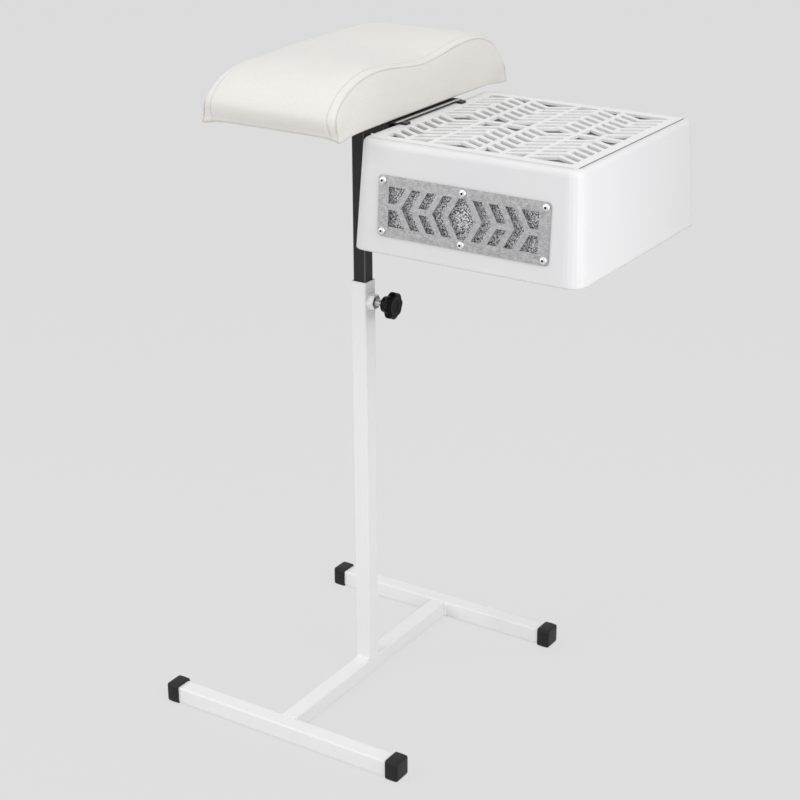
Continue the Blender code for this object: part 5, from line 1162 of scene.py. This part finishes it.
def end_cap(name):
    """Rings of one cap: from its closed end over the outside to the mouth, then inside to the tube's end."""
    cap_low, cap_high = map(np.array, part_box(name))
    tube_low, tube_high = map(np.array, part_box(name.split("_")[0] + "_crossbar"))
    side = np.sign(cap_low[0] + cap_high[0])
    mouth, end = sorted(np.abs([cap_low[0], cap_high[0]]))
    tube_end = tube_high[0] if side > 0 else -tube_low[0]
    edge = np.linspace(0, np.pi / 2, EDGE_RINGS)
    outside = np.concatenate([CAP_ROUND * (1 - np.sin(edge)), [-CAP_SWELL, 0, CAP_LIP]])
    reach = np.concatenate([end - CAP_ROUND * (1 - np.cos(edge)),
                            [(mouth + end) / 2, mouth + CAP_LIP, mouth]])
    half = (cap_high - cap_low)[1:] / 2 + (CAP_PROUD, CAP_TOP_PROUD / 2)
    outer = square_rings(half, outside, CAP_CORNER)
    inner = square_rings((tube_high - tube_low)[1:] / 2 + CAP_PLAY, [0, 0], INNER_CORNER)
    outer_middle = np.array([(cap_low[1] + cap_high[1]) / 2, (cap_low[2] + cap_high[2] + CAP_TOP_PROUD) / 2])
    rings = np.concatenate([outer * (side, 1) + outer_middle,
                            inner * (side, 1) + (tube_low + tube_high)[1:] / 2])
    # The swelling doesn't go below the floor.
    rings[..., 1] = np.maximum(rings[..., 1], cap_low[2])
    along = side * np.concatenate([reach, [mouth, tube_end + CAP_PLAY]])
    return np.concatenate([np.broadcast_to(along[:, None, None], (*rings.shape[:2], 1)), rings], axis=-1)


cap_names = ["front_left_cap", "front_right_cap", "rear_left_cap", "rear_right_cap"]
points, faces = stacked(np.array([end_cap(name) for name in cap_names]))
caps_piece = new_piece("end_caps", points, faces, "stand", cap_plastic, sharp=40)
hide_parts(*cap_names)
print("end caps:", len(cap_names), "of", len(faces) // len(cap_names), "faces")

# %% [markdown]
# ## Welds
#
# The tubes are welded, and the beads show as smooth, slightly rippled fillets under the paint. Each bead is
# a rod sunk into the corner it fills; its radius ripples every 1.8 mm, as the welder's hand moved, and
# closes at the ends.


# %% Bead shapes
RIPPLE, RIPPLE_PITCH, BEAD_STEPS, BEAD_SIDES = 0.05, 1.8 * MM, 41, 12
# The power and share that close a bead's ends, and a direction that no bead has.
BLUNT, CLOSED, ANY_WAY = 10, 0.98, (0.31, 0.52, 0.79)


def beads(lines, radius):
    """Points and faces of rippled rods along straight lines, given as pairs of end points.

    The radius is a sine ripple times the root of 1 - |2t - 1|^p, with t from 0 to 1 along the bead."""
    starts, ends = np.array(lines).transpose(1, 0, 2)
    run = np.linalg.norm(ends - starts, axis=1, keepdims=True)
    outward = np.cross((ends - starts) / run, ANY_WAY)
    outward /= np.linalg.norm(outward, axis=1, keepdims=True)
    along = np.linspace(0, 1, BEAD_STEPS)
    ripple = 1 + RIPPLE * np.sin(along * run.max() / RIPPLE_PITCH * 2 * np.pi)
    profile = ripple * np.sqrt(1 - np.abs(2 * along - 1) ** BLUNT * CLOSED)
    return rods(starts, ends, outward, radius, profile, sides=BEAD_SIDES)


def joined(*parts):
    """Several pairs of points and faces as one pair."""
    points, faces = [], []
    for part_points, part_faces in parts:
        shift = sum(map(len, points))
        points.append(part_points)
        faces += [[corner + shift for corner in face] for face in part_faces]
    return np.concatenate(points), faces


def along_axis(axis, run, *middles):
    """Lines of one run along X, Y or Z, which are 0, 1 and 2, each as the two points at its ends."""
    half_run = np.eye(3)[axis] * run / 2
    return [(np.array(middle) - half_run, np.array(middle) + half_run) for middle in middles]


print("a bead ripples every", RIPPLE_PITCH / MM, "mm")

# %% [markdown]
# On the stand, the column stands on the beam and the beam meets the crossbars. Where two faces meet at a
# right angle the bead is a full fillet; where they lie flush, only a low seam shows. Another low seam runs
# round the clamp's nut.

# %% Welds on the stand
FILLET, FLUSH, FLUSH_SINK, FOOT_GAP, BEAM_GAP = 2.4 * MM, 1.1 * MM, 0.7 * MM, 0.4 * MM, 0.3 * MM
column_low, column_high = map(np.array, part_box("column_tube"))
beam_low, beam_high = map(np.array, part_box("centre_beam"))
foot, half_tube = column_low[2], (column_high[0] - column_low[0]) / 2
mid_x, mid_y = (column_low[:2] + column_high[:2]) / 2
beam_ends, beam_z = (beam_low[1], beam_high[1]), (beam_low[2] + beam_high[2]) / 2
tube_run, beam_run = 2 * (half_tube - MM), beam_high[2] - beam_low[2] - 2 * MM
fillets = along_axis(0, tube_run, *[(mid_x, mid_y + s * (half_tube + FOOT_GAP), foot) for s in (-1, 1)])
fillets += along_axis(2, beam_run, *[(mid_x + s * (half_tube + BEAM_GAP), y, beam_z)
                                     for s in (-1, 1) for y in beam_ends])
flush = along_axis(1, tube_run, *[(mid_x + s * (half_tube - FLUSH_SINK), mid_y, foot) for s in (-1, 1)])
flush += along_axis(0, tube_run, *[(mid_x, y, beam_high[2] - FLUSH_SINK) for y in beam_ends])
nut_corner, nut_angle = (nut_high[1] - nut_low[1]) / 2, np.arange(7) * np.pi / 3
nut_ring = turned(nut_low[0], np.full(7, nut_corner), nut_angle)
points, faces = joined(beads(fillets, FILLET), beads(flush, FLUSH),
                       beads(list(zip(nut_ring[:-1], nut_ring[1:])), FLUSH))
new_piece("stand_welds", points, faces, "stand", white_coat)
print("stand welds:", len(fillets), "fillets,", len(flush), "flush seams and the nut's")

# %% [markdown]
# On the head, the arm is welded to the post below and to the hanger rail at its end, and the seat plate has
# a fillet on each of the three sides of the post that the arm leaves free. The beads are black like the
# pieces they join.

# %% Welds on the bracket
POST_FILLET = 2.0 * MM
post_low, post_high = map(np.array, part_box("inner_post"))
arm_low, arm_high = map(np.array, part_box("bracket_arm"))
half_post, post_top = (post_high[0] - post_low[0]) / 2, post_high[2]
arm_z, arm_run = (arm_low[2] + arm_high[2]) / 2, arm_high[2] - arm_low[2] - 2 * MM
fillets = along_axis(2, arm_run, *[(arm_high[0], s * half_post, arm_z) for s in (-1, 1)])
fillets += along_axis(1, 2 * (half_post - MM), (mid_x + half_post, 0, arm_low[2]))
fillets += along_axis(1, 2 * half_post, (mid_x - half_post, 0, post_top))
fillets += along_axis(0, 2 * half_post, *[(mid_x, s * half_post, post_top) for s in (-1, 1)])
points, faces = beads(fillets, POST_FILLET)
new_piece("bracket_welds", points, faces, "head", black_coat)
print("bracket welds:", len(fillets), "fillets")
